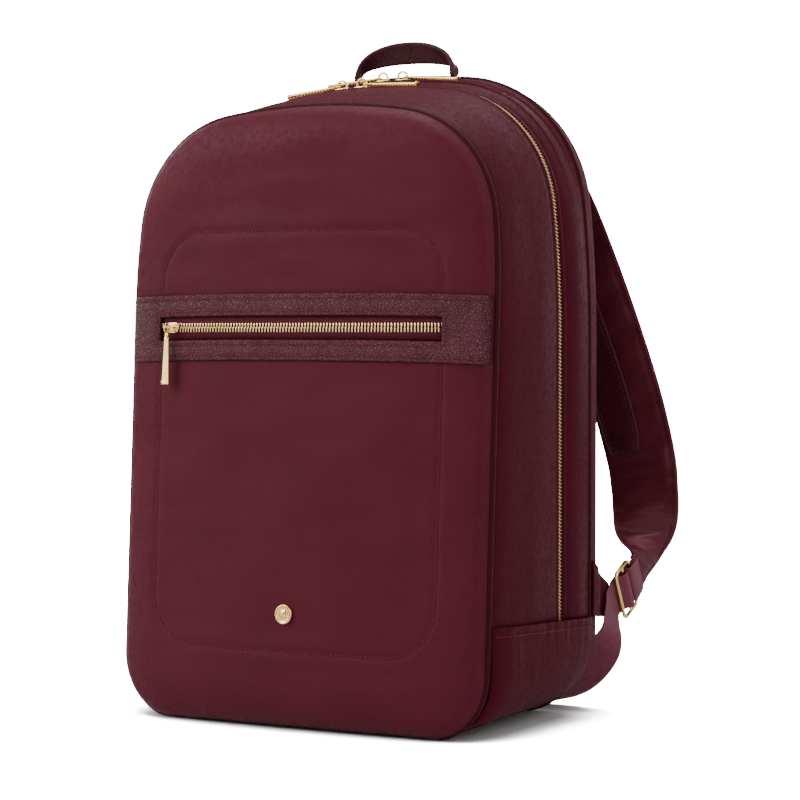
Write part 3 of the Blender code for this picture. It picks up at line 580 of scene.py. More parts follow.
def cloth(name, dark, light, thread=0.00045, twill=0.0, slub=0.3, rough=(0.48, 0.66), depth=0.00003,
          shade=0.3, sheen=0.05, sheen_colour=(0.8, 0.3, 0.4), specular=0.14):
    made, s, shader = new_finish(name)
    weave = s.use(WEAVE, Thread=thread, Twill=twill, Slub=slub)
    handled = s.use(HANDLED, Broad=16.0, Fine=320.0)
    tone = s.sum("ADD", s.sum("MULTIPLY", weave["Shade"], shade),
                 s.sum("MULTIPLY_ADD", handled["Cloud"], 0.22,
                       s.sum("MULTIPLY_ADD", handled["Dust"], 0.15, 0.48 - shade / 2)))
    s.feed(shader.inputs["Base Color"], s.blend(tone, (*dark, 1.0), (*light, 1.0)))
    s.feed(shader.inputs["Roughness"], s.span(handled["Dust"], 0.0, 1.0, *rough))
    shader.inputs["Sheen Weight"].default_value = sheen
    shader.inputs["Sheen Roughness"].default_value = 0.42
    shader.inputs["Sheen Tint"].default_value = (*sheen_colour, 1.0)
    shader.inputs["Specular IOR Level"].default_value = specular
    shader.inputs["Specular Tint"].default_value = (1.0, 0.62, 0.70, 1.0)
    raised(s, shader, weave["Height"], depth)
    return made


def ribbed_webbing(name, dark, light):
    """Strap webbing: ribs along its length crossed by fine picks, on the strap's own UV."""
    made, s, shader = new_finish(name)
    uv = s.node("ShaderNodeUVMap", uv_map="cloth").outputs["UV"]
    along, across, _ = s.parts(uv)
    rib = s.sum("ABSOLUTE", s.sum("SINE", s.sum("MULTIPLY", across, math.pi / 0.0013)))
    pick = s.sum("SINE", s.sum("MULTIPLY", along, 2 * math.pi / 0.0011))
    turn = s.sum("SINE", s.sum("MULTIPLY", across, math.pi / 0.0013 * 2))
    height = s.sum("ADD", rib, s.sum("MULTIPLY", s.sum("MULTIPLY", pick, turn), 0.35))
    handled = s.use(HANDLED, Broad=20.0, Fine=420.0)
    tone = s.sum("ADD", s.sum("MULTIPLY", height, 0.55), s.sum("MULTIPLY", handled["Dust"], 0.3))
    s.feed(shader.inputs["Base Color"], s.blend(tone, (*dark, 1.0), (*light, 1.0)))
    s.feed(shader.inputs["Roughness"], s.span(handled["Dust"], 0.0, 1.0, 0.5, 0.7))
    shader.inputs["Sheen Weight"].default_value = 0.06
    shader.inputs["Sheen Roughness"].default_value = 0.4
    shader.inputs["Specular IOR Level"].default_value = 0.15
    raised(s, shader, height, 0.00028)
    return made


def grained_leather(name, crease, dark, light, pebble, rough, depth, specular):
    made, s, shader = new_finish(name)
    grain = s.use(GRAIN, Pebble=pebble, Crease=0.32)
    handled = s.use(HANDLED, Broad=22.0, Fine=500.0)
    tone = s.sum("ADD", s.sum("MULTIPLY", grain["Patch"], 0.45), s.sum("MULTIPLY", handled["Cloud"], 0.55))
    body = s.blend(tone, (*dark, 1.0), (*light, 1.0))
    s.feed(shader.inputs["Base Color"], s.blend(s.sum("MULTIPLY", grain["Creases"], 0.75), body,
                                                (*crease, 1.0)))
    worn = s.sum("ADD", s.sum("MULTIPLY", grain["Creases"], 0.5), s.sum("MULTIPLY", handled["Dust"], 0.5))
    s.feed(shader.inputs["Roughness"], s.span(worn, 0.0, 1.0, *rough))
    shader.inputs["Specular IOR Level"].default_value = specular
    shader.inputs["Specular Tint"].default_value = (1.0, 0.60, 0.68, 1.0)
    raised(s, shader, grain["Height"], depth)
    return made


def plated_metal(name, pale, deep, rough):
    made, s, shader = new_finish(name)
    handled = s.use(HANDLED, Broad=90.0, Fine=1400.0)
    s.feed(shader.inputs["Base Color"], s.blend(s.sum("MULTIPLY", handled["Cloud"], 0.6), (*pale, 1.0),
                                                (*deep, 1.0)))
    shader.inputs["Metallic"].default_value = 1.0
    s.feed(shader.inputs["Roughness"], s.span(handled["Dust"], 0.0, 1.0, *rough))
    raised(s, shader, handled["Dust"], 0.000006, 0.5)
    return made


def plain_board(name):
    made, s, shader = new_finish(name)
    handled = s.use(HANDLED, Broad=30.0, Fine=700.0)
    s.feed(shader.inputs["Base Color"], s.blend(handled["Dust"], (0.022, 0.021, 0.022, 1.0),
                                                (0.045, 0.043, 0.044, 1.0)))
    shader.inputs["Roughness"].default_value = 0.6
    raised(s, shader, handled["Dust"], 0.0001)
    return made


WEAVE, GRAIN, HANDLED = make_weave(), make_grain(), make_handling()
# NYLON and the front copy on the next line are one cloth in two tones: the front copy is painted lighter
# for the lit front, and NYLON is painted darker for the shaded side gussets.
NYLON = cloth("burgundy nylon", (0.033, 0.0018, 0.0056), (0.067, 0.0050, 0.0130), 0.0005, specular=0.05)
FRONT_NYLON_PAINTED_LIGHTER = cloth("burgundy nylon, front, painted lighter", (0.046, 0.0036, 0.0088), (0.086, 0.0088, 0.0190), 0.0005)
# The piping's copy of the nylon is painted darker: painted shade that stands for the dark crease along the
# seams.
PIPING_PAINTED_DARKER = cloth("burgundy nylon, piping, painted darker", (0.018, 0.0012, 0.0034), (0.040, 0.0034, 0.0085), 0.0005,
               specular=0.10)
# The straps' copy of the nylon is painted lighter, standing for light on the lower strap that the lamps
# here leave in shade.
STRAP_NYLON_PAINTED_LIGHTER = cloth("burgundy nylon, straps, painted lighter", (0.050, 0.0052, 0.0115), (0.110, 0.0140, 0.0270), 0.0005,
                    rough=(0.36, 0.50), specular=0.32)
TWILL = cloth("burgundy twill", (0.034, 0.0050, 0.0095), (0.105, 0.018, 0.032), 0.0011, 1.0, 0.25,
              (0.6, 0.8), 0.00022, 0.55)
MESH = cloth("burgundy air mesh", (0.020, 0.0035, 0.0062), (0.090, 0.017, 0.030), 0.0016, 0.0, 0.15,
             (0.7, 0.88), 0.00045, 0.55)
LINING = cloth("dark lining", (0.016, 0.0030, 0.0050), (0.040, 0.0080, 0.0130), 0.00035, 0.0, 0.25,
               (0.45, 0.6), 0.00004)
TAPE = cloth("zip tape", (0.034, 0.0040, 0.0085), (0.098, 0.0135, 0.0250), 0.0007, 1.0, 0.2,
             (0.6, 0.8), 0.00012)
THREAD = cloth("burgundy thread", (0.070, 0.0055, 0.0130), (0.150, 0.020, 0.036), 0.0004, 1.0, 0.2,
               (0.4, 0.6), 0.00008)
WEBBING = ribbed_webbing("ribbed burgundy webbing", (0.095, 0.0150, 0.0290), (0.270, 0.062, 0.100))
LEATHER = grained_leather("grained burgundy leather", (0.030, 0.0048, 0.0088), (0.082, 0.0140, 0.0225),
                          (0.168, 0.040, 0.057), 0.0018, (0.26, 0.46), 0.0008, 0.30)
GRIP = grained_leather("handle leather", (0.016, 0.0040, 0.0060), (0.048, 0.0115, 0.0165),
                       (0.098, 0.026, 0.036), 0.0011, (0.36, 0.56), 0.0002, 0.22)
GOLD = plated_metal("pale gold plating", (0.95, 0.65, 0.24), (0.80, 0.50, 0.16), (0.07, 0.15))
TEETH = plated_metal("gold zip teeth", (0.95, 0.70, 0.32), (0.80, 0.55, 0.22), (0.12, 0.24))
BOARD = plain_board("stiffening board")


# ------------------------------------------------------------------ repeated small pieces
def make_row_tree():
    """Sets a small piece every Spacing along a path, turned to the path and to its stored up."""
    tree = bpy.data.node_groups.new("row along a path", "GeometryNodeTree")
    for label, kind, value in (("Path", "NodeSocketGeometry", None), ("Spacing", "NodeSocketFloat", 0.003),
                               ("Piece", "NodeSocketObject", None), ("Finish", "NodeSocketMaterial", None),
                               ("Wobble", "NodeSocketFloat", 0.0), ("Seed", "NodeSocketInt", 7)):
        made = tree.interface.new_socket(label, in_out="INPUT", socket_type=kind)
        if value is not None:
            made.default_value = value
    tree.interface.new_socket("Row", in_out="OUTPUT", socket_type="NodeSocketGeometry")
    s = Sheet(tree)
    given, out = s.node("NodeGroupInput").outputs, s.node("NodeGroupOutput").inputs
    curve = s.node("GeometryNodeMeshToCurve")
    s.feed(curve.inputs["Mesh"], given["Path"])
    even = s.node("GeometryNodeResampleCurve", mode="LENGTH")
    s.feed(even.inputs["Curve"], curve.outputs["Curve"])
    s.feed(even.inputs["Length"], given["Spacing"])
    tangent = s.node("GeometryNodeInputTangent")
    up = s.node("GeometryNodeInputNamedAttribute", data_type="FLOAT_VECTOR")
    up.inputs["Name"].default_value = "up"
    first = s.node("FunctionNodeAlignRotationToVector", axis="X")
    s.feed(first.inputs["Vector"], tangent.outputs["Tangent"])
    second = s.node("FunctionNodeAlignRotationToVector", axis="Z", pivot_axis="X")
    s.feed(second.inputs["Rotation"], first.outputs["Rotation"])
    s.feed(second.inputs["Vector"], up.outputs["Attribute"])
    shake = s.node("FunctionNodeRandomValue", data_type="FLOAT")
    s.feed(shake.inputs[2], s_math(s, "MULTIPLY", given["Wobble"], -1.0))
    s.feed(shake.inputs[3], given["Wobble"])
    s.feed(shake.inputs["Seed"], given["Seed"])
    spin = s.node("ShaderNodeCombineXYZ")
    s.feed(spin.inputs[2], shake.outputs[1])
    tilt = s.node("FunctionNodeEulerToRotation")
    s.feed(tilt.inputs[0], spin.outputs[0])
    turn = s.node("FunctionNodeRotateRotation", rotation_space="LOCAL")
    s.feed(turn.inputs[0], second.outputs["Rotation"])
    s.feed(turn.inputs[1], tilt.outputs[0])
    info = s.node("GeometryNodeObjectInfo")
    s.feed(info.inputs["Object"], given["Piece"])
    set_down = s.node("GeometryNodeInstanceOnPoints")
    s.feed(set_down.inputs["Points"], even.outputs["Curve"])
    s.feed(set_down.inputs["Instance"], info.outputs["Geometry"])
    s.feed(set_down.inputs["Rotation"], turn.outputs[0])
    real = s.node("GeometryNodeRealizeInstances")
    s.feed(real.inputs[0], set_down.outputs["Instances"])
    finish = s.node("GeometryNodeSetMaterial")
    s.feed(finish.inputs["Geometry"], real.outputs[0])
    s.feed(finish.inputs["Material"], given["Finish"])
    s.feed(out["Row"], finish.outputs["Geometry"])
    return tree


def s_math(s, operation, a, b):
    made = s.node("ShaderNodeMath", operation=operation)
    s.feed(made.inputs[0], a)
    s.feed(made.inputs[1], b)
    return made.outputs[0]


ROW_TREE = make_row_tree()


def row(name, path, piece, spacing, finish, wobble=0.0, seed=7):
    """One mesh of pieces along a path of (point, up) pairs in millimetres."""
    mesh = bpy.data.meshes.new(name)
    mesh.from_pydata([Vector(p) * MM for p, _ in path], [(i, i + 1) for i in range(len(path) - 1)], [])
    ups = mesh.attributes.new("up", "FLOAT_VECTOR", "POINT")
    for i, (_, up) in enumerate(path):
        ups.data[i].vector = Vector(up).normalized()
    made = bpy.data.objects.new(name, mesh)
    bpy.context.scene.collection.objects.link(made)
    step = made.modifiers.new("row", "NODES")
    values = {"Spacing": spacing * MM, "Piece": piece, "Finish": finish, "Wobble": wobble, "Seed": seed}
    for socket in ROW_TREE.interface.items_tree:
        if socket.in_out == "INPUT" and socket.name in values:
            if step.node_group is None:
                step.node_group = ROW_TREE
            step[socket.identifier] = values[socket.name]
    keep_clean(made)
    made.data.polygons.foreach_set("use_smooth", [True] * len(made.data.polygons))
    if "up" in made.data.attributes:
        made.data.attributes.remove(made.data.attributes["up"])
    return made


def small_piece(name, loops, finish):
    """A unit for the rows; it is dropped from the scene once every row is made."""
    made = loft(name, loops, finish)
    UNITS.append(made)
    return made


UNITS = []


def stitch_unit(name, length, width, rise):
    loops = []
    for share, size in ((-0.5, 0.35), (-0.36, 0.9), (0.0, 1.05), (0.36, 0.9), (0.5, 0.35)):
        dip = -rise * 0.9 if abs(share) == 0.5 else 0.0
        loops.append([Vector((share * length, width / 2 * size * math.cos(a),
                              rise * (0.4 + 0.6 * size * math.sin(a)) + dip))
                      for a in (2 * math.pi * k / 6 for k in range(6))])
    return small_piece(name, loops, THREAD)


def tooth_unit():
    """A cast zip tooth: a shank clamped on the tape and a narrower cupped head reaching inwards."""
    loops = []
    for across, half, low, high in ((-3.0, 0.30, -0.5, 0.05), (-2.7, 0.45, -0.7, 0.30),
                                    (-0.9, 0.45, -0.7, 0.40),
                                    (-0.3, 0.32, -0.5, 0.34), (0.2, 0.30, -0.5, 0.28),
                                    (0.5, 0.18, -0.3, 0.10)):
        loops.append([Vector((dx * half, across, h)) for dx, h in
                      ((-1, low), (1, low), (1, high * 0.55), (0.6, high), (-0.6, high),
                       (-1, high * 0.55))])
    return small_piece("tooth unit", loops, TEETH)


STITCH_UNIT = stitch_unit("stitch unit", 2.3, 0.78, 0.42)
FINE_STITCH = stitch_unit("fine stitch unit", 1.7, 0.42, 0.26)
TOOTH_UNIT = tooth_unit()


# ------------------------------------------------------------------ studio
def studio():
    world = bpy.data.worlds.new("white studio")
    bpy.context.scene.world = world
    world.use_nodes = True
    s = Sheet(world.node_tree)
    ground = world.node_tree.nodes["Background"]
    ground.inputs["Color"].default_value = (1.0, 1.0, 1.0, 1.0)
    ground.inputs["Strength"].default_value = WORLD_LIGHT
    mirrored_room, backdrop = s.node("ShaderNodeBackground"), s.node("ShaderNodeBackground")
    backdrop.inputs["Strength"].default_value = WORLD_SHOWN
    x, _, z = s.parts(s.node("ShaderNodeTexCoord").outputs["Generated"])
    panels = s.span(s.sum("SINE", s.sum("MULTIPLY", s.sum("ADD", x, s.sum("MULTIPLY", z, 0.6)), 7.0)), 0.0,
                    0.55)
    s.feed(mirrored_room.inputs["Strength"], s.sum("MULTIPLY_ADD", panels, WORLD_MIRRORED - 0.12, 0.12))
    rays = s.node("ShaderNodeLightPath").outputs
    shiny, both = s.node("ShaderNodeMixShader"), s.node("ShaderNodeMixShader")
    s.feed(shiny.inputs[0], rays["Is Glossy Ray"])
    s.feed(shiny.inputs[1], ground.outputs[0])
    s.feed(shiny.inputs[2], mirrored_room.outputs[0])
    s.feed(both.inputs[0], rays["Is Camera Ray"])
    s.feed(both.inputs[1], shiny.outputs[0])
    s.feed(both.inputs[2], backdrop.outputs[0])
    s.feed(world.node_tree.nodes["World Output"].inputs["Surface"], both.outputs[0])

    table = bpy.data.meshes.new("table")
    reach = 6.0
    table.from_pydata([(-reach, -reach, -0.0006), (reach, -reach, -0.0006), (reach, reach, -0.0006),
                       (-reach, reach, -0.0006)], [], [(0, 1, 2, 3)])
    paper, p, shader = new_finish("white table paper")
    p.feed(shader.inputs["Base Color"], p.blend(p.cloud(p.place(), 40.0), (0.86, 0.86, 0.86, 1.0),
                                                (0.88, 0.88, 0.88, 1.0)))
    shader.inputs["Roughness"].default_value = 0.9
    shader.inputs["Specular IOR Level"].default_value = 0.1
    # Camera rays see the table as a bright diffuse that ambient occlusion darkens near the bag: a painted
    # contact shadow added to the real one.
    bright, seen_bright = p.node("ShaderNodeBsdfDiffuse"), p.node("ShaderNodeMixShader")
    painted_shadow_ao = p.node("ShaderNodeAmbientOcclusion", samples=8)
    painted_shadow_ao.inputs["Distance"].default_value = 0.075
    p.feed(bright.inputs["Color"], p.blend(p.span(painted_shadow_ao.outputs["AO"], 0.42, 0.97),
                                           (TABLE_SHADE, TABLE_SHADE, TABLE_SHADE, 1.0),
                                           (TABLE_SHOWN, TABLE_SHOWN, TABLE_SHOWN, 1.0)))
    p.feed(seen_bright.inputs[0], p.node("ShaderNodeLightPath").outputs["Is Camera Ray"])
    p.feed(seen_bright.inputs[1], shader.outputs[0])
    p.feed(seen_bright.inputs[2], bright.outputs[0])
    p.feed(paper.node_tree.nodes["Material Output"].inputs["Surface"], seen_bright.outputs[0])
    table.materials.append(paper)
    floor = bpy.data.objects.new("table", table)
    bpy.context.scene.collection.objects.link(floor)

    for name, where, size, power in (("large front light", (-1.5, -1.7, 1.7), 1.4, 54.0),
                                     ("soft right light", (2.0, -0.6, 1.2), 1.2, 9.0),
                                     ("top light", (0.1, 0.1, 2.3), 1.4, 22.0)):
        lamp = bpy.data.lights.new(name, "AREA")
        lamp.size, lamp.energy = size, power
        light = bpy.data.objects.new(name, lamp)
        light.location = where
        aim = Vector((0.0, 0.0, 0.22)) - Vector(where)
        light.rotation_euler = aim.to_track_quat("-Z", "Y").to_euler()
        bpy.context.scene.collection.objects.link(light)


def camera():
    """Stands to the right of the front, level with the middle of the bag."""
    turn, drop = math.radians(31.0), math.atan(70.0 / 2700.0)
    right = Vector((math.cos(turn), math.sin(turn), 0.0))
    ahead = Vector((-math.sin(turn), math.cos(turn), 0.0))
    lens = bpy.data.cameras.new("camera")
    lens.sensor_width, lens.lens = 36.0, 121.5
    made = bpy.data.objects.new("camera", lens)
    made.location = Vector((0.0, -0.070, 0.248)) - ahead * 1.687 + right * 0.060
    gaze = ahead * math.cos(drop) - Vector((0.0, 0.0, 1.0)) * math.sin(drop)
    made.rotation_euler = gaze.to_track_quat("-Z", "Y").to_euler()
    bpy.context.scene.collection.objects.link(made)
    bpy.context.scene.camera = made


WORLD_LIGHT, WORLD_SHOWN, WORLD_MIRRORED, TABLE_SHOWN, TABLE_SHADE = 0.5, 26.0, 3.4, 80.0, 0.9
studio()
camera()


# ------------------------------------------------------------------ front panel
def spread(count, tight=0.75):
    """Shares from 0 to 1 that crowd towards both ends."""
    return [mix(i / count, 0.5 - 0.5 * math.cos(math.pi * i / count), tight) for i in range(count + 1)]


def front_panel():
    grid = []
    for v in spread(210, 0.55):
        line = []
        for u in spread(150, 0.7):
            x = (2.0 * u - 1.0) * HALF * 0.9996
            z = mix(low_height(x) + 0.4, top_height(x) - 0.2, v)
            line.append(Vector((x, front_skin_y(x, z), z)))
        grid.append(line)
    made = wall("front_skin", grid, 1.6, FRONT_NYLON_PAINTED_LIGHTER)
    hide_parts("front_panel", "front_fold", "front_panel_lower")
    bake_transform(made)

    cord = [(x, front_y(z) - PIPING_AHEAD, max(z, 1.9)) for x, z in whole_outline(FRONT_SEAM, 0.2)]
    made = loft("front_piping_cord", tube_loops(cord, PIPING_RADIUS, 12, True), PIPING_PAINTED_DARKER, closed=True)
    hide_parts("front_piping", "front_piping_lower")
    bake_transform(made)


def rectangle_path(half, low, high, corner, steps=12):
    """(x, z) round a rounded rectangle, closed."""
    run = []
    for cx, cz, start in ((half - corner, high - corner, 0.0), (-half + corner, high - corner, 90.0),
                          (-half + corner, low + corner, 180.0), (half - corner, low + corner, 270.0)):
        for i in range(steps + 1):
            a = math.radians(start + 90.0 * i / steps)
            run.append((cx + corner * math.cos(a), cz + corner * math.sin(a)))
    return run + [run[0]]


def dense(run, step=2.0):
    out = []
    for a, b in zip(run, run[1:]):
        pieces = max(int(math.dist(a, b) / step), 1)
        out += [tuple(mix(p, q, i / pieces) for p, q in zip(a, b)) for i in range(pieces)]
    return out + [tuple(run[-1])]


def front_up(x, z, surface=front_skin_y):
    slope_x = surface(x + 1.0, z) - surface(x - 1.0, z)
    slope_z = surface(x, z + 1.0) - surface(x, z - 1.0)
    return Vector((slope_x / 2.0, -1.0, slope_z / 2.0)).normalized()


def quilt_stitches():
    run = dense(rectangle_path(QUILT_HALF, QUILT_LOW, QUILT_HIGH, QUILT_ROUND))
    path = [((x, front_skin_y(x, z) - 0.15, z), front_up(x, z)) for x, z in run
            if z > 64.0 and not BAND_LOW - 1.0 < z < BAND_HIGH + 1.0]
    runs, last = [[]], None
    for point in path:      # the line stops at the leather and at the fold
        if last is not None and math.dist(point[0], last) > 8.0:
            runs.append([])
        runs[-1].append(point)
        last = point[0]
    parts = [row(f"quilt run {i}", part, STITCH_UNIT, STITCH, THREAD, 0.05) for i,
             part in enumerate(runs) if len(part) > 3]
    made = joined("quilt_stitches", parts)
    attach(made, "flap")
    low = [((x, front_skin_y(x, z) - 0.15, z), front_up(x, z)) for x, z in run if z <= 64.0]
    low.sort(key=lambda item: math.atan2(item[0][2] - 90.0, item[0][0]))
    low = [item for item in low]
    made = row("quilt_stitches_low", low, STITCH_UNIT, STITCH, THREAD, 0.05)
    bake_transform(made)


# ------------------------------------------------------------------ gussets and their zips
def run_sections(levels, foot):
    """The arch at several depths, station by station: [(x, z, nx, nz) per depth]."""
    return list(zip(*[arch(y, foot) for y in levels]))


def puff_line(share, height):
    return height * math.sin(math.pi * clamp(share)) ** 0.8


def front_gusset():
    foot = HINGE_Z + 0.3
    stations = run_sections((FRONT_SEAM, ZIP_Y), foot)
    shares = [0.0, 0.012, 0.03, 0.055, 0.09] + [0.13 + 0.66 * i / 17 for i in range(18)]
    shares += [0.83, 0.86, 0.885, 0.91, 0.93, 0.948, 0.963, 0.977, 0.988, 0.996, 1.0]
    grid = []
    for front, rear in stations:
        line = []
        for s in shares:
            x, z = mix(front[0], rear[0], s), mix(front[1], rear[1], s)
            nx, nz = mix(front[2], rear[2], s), mix(front[3], rear[3], s)
            y = mix(front_y(front[1]) + 0.9, ZIP_Y - SLOT + 0.1, s)
            side = ease((330.0 - z) / 90.0)
            lift = puff_line(s, mix(1.0, 3.2, side)) + 0.4 * (1.0 - bell(s, 0.02))
            crease = 0.8 * wander(y * 1.1, z * 0.28, x * 0.2, 30.0)
            crease += 0.7 * bell(z - 74.0, 30.0) * wander(y * 1.5, z * 0.25, 3.0, 24.0)
            lift += crease * math.sin(math.pi * clamp(s)) ** 0.6
            gap = ZIP_Y - SLOT - y
            lift += 0.35 * bell(gap - 1.3, 1.2) - 0.55 * bell(gap - 4.4, 1.0) - 1.2 * bell(gap, 0.35)
            lift -= 0.5 * bell(s, 0.03)
            line.append(Vector((x + nx * lift, y, z + nz * lift)))
        grid.append(line)
    made = wall("front_side_band", grid, 1.6, NYLON)
    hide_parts("front_gusset")
    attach(made, "flap")
    edge_stitches("front_side_stitches", "flap", ZIP_Y - SLOT - 4.4, ZIP_Y, foot + 1.0, -0.28)


def zip_path(y, level, lift, foot):
    return [((x + nx * lift, y, z + nz * lift), (nx, 0.0, nz)) for x, z, nx, nz in arch(level, foot)]


def edge_stitches(name, body, y, level, foot, lift):
    made = row(name, zip_path(y, level, lift, foot), STITCH_UNIT, STITCH, THREAD, 0.06)
    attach(made, body)


def in_laptop_slot(x, z, y):
    return abs(x) < LAPTOP_REACH and z > 380.0 and abs(y - LAPTOP_Y) < SLOT


def rear_gusset():
    foot = HINGE_Z + 0.3
    near, far = ZIP_Y + SLOT - 0.1, REAR_SEAM - 0.9
    levels = [near, near + 0.3, near + 0.8, near + 1.6, near + 3.0, near + 4.1, near + 5.0, near + 7.0,
              33.0, 35.5,
              37.5, 38.6, 39.6, 40.6, 41.4, 41.8, 42.0, 45.0, 48.0, 48.2, 48.6, 49.4, 50.4, 51.4, 52.6,
              54.5, 56.5,
              58.0, far]
    columns = [arch(y, foot, 1.35) for y in levels]
    grid = []
    for k in range(len(columns[0])):
        line = []
        for y, column in zip(levels, columns):
            x, z, nx, nz = column[k]
            share = (y - near) / (far - near)
            side = ease((365.0 - z) / 60.0)
            lift = puff_line(share, mix(0.5, 2.6, side))
            lift += 0.7 * wander(y * 1.2, z * 0.3, x * 0.2, 26.0) * puff_line(share, 1.0)
            lift += 0.7 * bell(z - 72.0, 26.0) * wander(y * 1.6, z * 0.3, 7.0, 20.0) * puff_line(share, 1.0)
            gap = y - near
            lift += 0.35 * bell(gap - 1.3, 1.2) - 0.55 * bell(gap - 4.1, 1.0) - 1.2 * bell(gap, 0.35)
            top = ease((z - 386.0) / 6.0) * ease((84.0 - abs(x)) / 6.0)
            gap = abs(y - LAPTOP_Y) - SLOT
            lift += top * (0.35 * bell(gap - 1.0, 0.9) - 0.5 * bell(gap - 3.4, 0.9) - 1.1 * bell(gap, 0.3))
            line.append(Vector((x + nx * lift, y, z + nz * lift)))
        grid.append(line)

    def keep(i, j):
        centre = (grid[i][j] + grid[i + 1][j + 1]) / 2
        return not in_laptop_slot(centre.x, centre.z, centre.y)
    made = wall("rear_side_band", grid, 1.6, NYLON, keep)
    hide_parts("rear_gusset")
    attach(made, "bag")
    edge_stitches("rear_side_stitches", "bag", near + 4.1, ZIP_Y, foot + 1.0, -0.28)
    for name, y in (("laptop_zip_stitches_front", LAPTOP_Y - SLOT - 3.4),
                    ("laptop_zip_stitches_rear", LAPTOP_Y + SLOT + 3.4)):
        path = [(p, up) for p, up in zip_path(y, LAPTOP_Y, -0.2, foot) if abs(p[0]) < 80.0 and p[2] > 380.0]
        made = row(name, path, STITCH_UNIT, STITCH, THREAD, 0.06)
        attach(made, "bag")


def tape_and_teeth(prefix, level, foot, reach, front_body, rear_body, nodes):
    """Both halves of a zip over the arch: woven tape with its thick edge, and a row of teeth."""
    run = [item for item in arch(level, foot, 1.3)]
    if reach is not None:
        run = [item for item in run if abs(item[0]) < reach and item[1] > 380.0]
    for tag, side, body, node in (("front", -1.0, front_body, nodes[0]),
                                  ("rear", 1.0, rear_body, nodes[1])):
        loops = []
        for x, z, nx, nz in run:
            section = ((SLOT + 3.0, -1.9), (SLOT + 3.0, -1.3), (2.9, -1.15), (1.2, -1.1), (0.75, -0.75),
                       (0.35, -0.85),
                       (0.25, -1.3), (0.7, -1.75), (1.6, -1.8))
            loops.append([Vector((x + nx * h, level + side * y, z + nz * h)) for y, h in section])
        made = loft(f"{prefix}_tape_{tag}", loops, TAPE)
        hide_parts(node)
        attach(made, body)
        path = [((x - nx * 0.35, level, z - nz * 0.35), (nx, 0.0, nz)) for x, z, nx, nz in run]
        if side < 0:
            path = path[::-1]
        else:       # the rear row sits half a pitch along, so that the teeth mesh
            path = shifted(path, CHAIN_PITCH / 2)
        made = row(f"{prefix}_teeth_{tag}", path, TOOTH_UNIT, CHAIN_PITCH, TEETH)
        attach(made, body)


def shifted(path, distance):
    a, b = Vector(path[0][0]), Vector(path[1][0])
    return [((a + (b - a).normalized() * distance), path[0][1])] + path[1:]


def lower_gusset():
    levels = [-69.0, -66.0, -60.0, -50.0, -35.0, -20.0, 0.0, 20.0, 35.0, 48.0, 54.0, 57.0, REAR_SEAM - 0.9]
    columns = [trough(y, 131.2, 2.0, 61.9, 18) for y in levels]
    grid = []
    for k in range(len(columns[0])):
        line = []
        for i, (y, column) in enumerate(zip(levels, columns)):
            x, z, nx, nz = column[k]
            flare = max(bell(i, 1.6), bell(len(levels) - 1 - i, 1.6))
            out = 1.6 * flare * abs(nx)
            if i == 0:
                y = front_y(z) + 0.9
            line.append(Vector((x + nx * out, y, max(z + nz * out, 0.15))))
        grid.append(line)
    made = wall("bottom_band", grid, 1.6, NYLON)
    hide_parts("bottom_gusset")
    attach(made, "bag")


# ------------------------------------------------------------------ side pockets
def hem_height(y):
    return mix(69.0, 64.5, clamp((y + 68.0) / 126.0))


def pocket_point(y, down, side, lift=0.0):
    """A point of a side pocket: down is the distance below the hem along the cloth."""
    hem, corner = hem_height(y), corner_at(y)
    edge = min(y + 71.0, REAR_SEAM - y)
    half = 134.1 + 2.9 * rounding(edge - 1.0, 14.0)
    straight = hem - corner
    fade = math.exp(-down / 22.0)
    gather = 0.75 * fade * wander(y * 2.6, down * 0.25, side * 9.0, 9.0) * rounding(edge, 12.0)
    gather += 0.6 * wander(y * 1.2, down * 0.6, side * 5.0, 26.0) * rounding(edge, 20.0)
    bulge = 4.0 * rounding(edge, 40.0) * (1.0 - 0.25 * fade)
    line = -0.45 * bell(down - 5.6, 0.8) + 0.35 * ease((7.2 - down) / 1.2) - 0.9 * bell(down, 0.5)
    if down <= straight:
        nx, nz, x, z = 1.0, 0.0, half, hem - down
        taper = 1.0
    else:
        a = (down - straight) / corner
        nx, nz = math.cos(a), -math.sin(a)
        x, z = half - corner + corner * nx, corner + corner * nz
        taper = clamp(1.0 - a / math.radians(62.0))
    out = (bulge + gather) * mix(0.0, 1.0, ease(taper * 1.6)) + line + lift
    out -= 2.6 * (1.0 - ease(taper * 4.0))
    return Vector(((x + nx * out) * side, y, max(z + nz * out, 0.5))), Vector((nx * side, 0.0, nz))


def side_pocket(tag, side):
    name = f"side_pocket_{tag}"
    grid = []
    for i in range(61):
        t = i / 60
        line = []
        for y in [mix(-71.0, REAR_SEAM - 1.0, share) for share in spread(72, 0.4)]:
            corner = corner_at(y)
            longest = hem_height(y) - corner + corner * math.radians(61.0)
            point, _ = pocket_point(y, t ** 1.25 * longest, side)
            if y < -68.0:
                point.y = max(point.y, front_y(point.z) + 1.2)
            line.append(point)
        grid.append(line)
    made = wall(f"{name}_cloth", grid, 1.1, NYLON, flip=side > 0)
    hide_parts(name)
    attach(made, "bag")
    path = []
    for i in range(64):
        y = mix(-68.0, REAR_SEAM - 2.0, i / 63)
        point, up = pocket_point(y, 5.6, side, 0.2)
        path.append((point, up))
    made = row(f"{name}_stitches", path, STITCH_UNIT, STITCH, THREAD, 0.06)
    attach(made, "bag")


front_panel()
quilt_stitches()
front_gusset()
rear_gusset()
tape_and_teeth("main", ZIP_Y, HINGE_Z + 0.3, None, "flap", "bag", ("main_chain_front", "main_chain_rear"))
tape_and_teeth("laptop", LAPTOP_Y, HINGE_Z + 0.3, LAPTOP_REACH + 2.0, "bag", "bag",
               ("laptop_chain_front", "laptop_chain_rear"))
lower_gusset()
side_pocket("right", 1.0)
side_pocket("left", -1.0)


# ------------------------------------------------------------------ leather band and front pocket zip
def band_surface(x, z):
    return front_plain(x, z) - 0.3


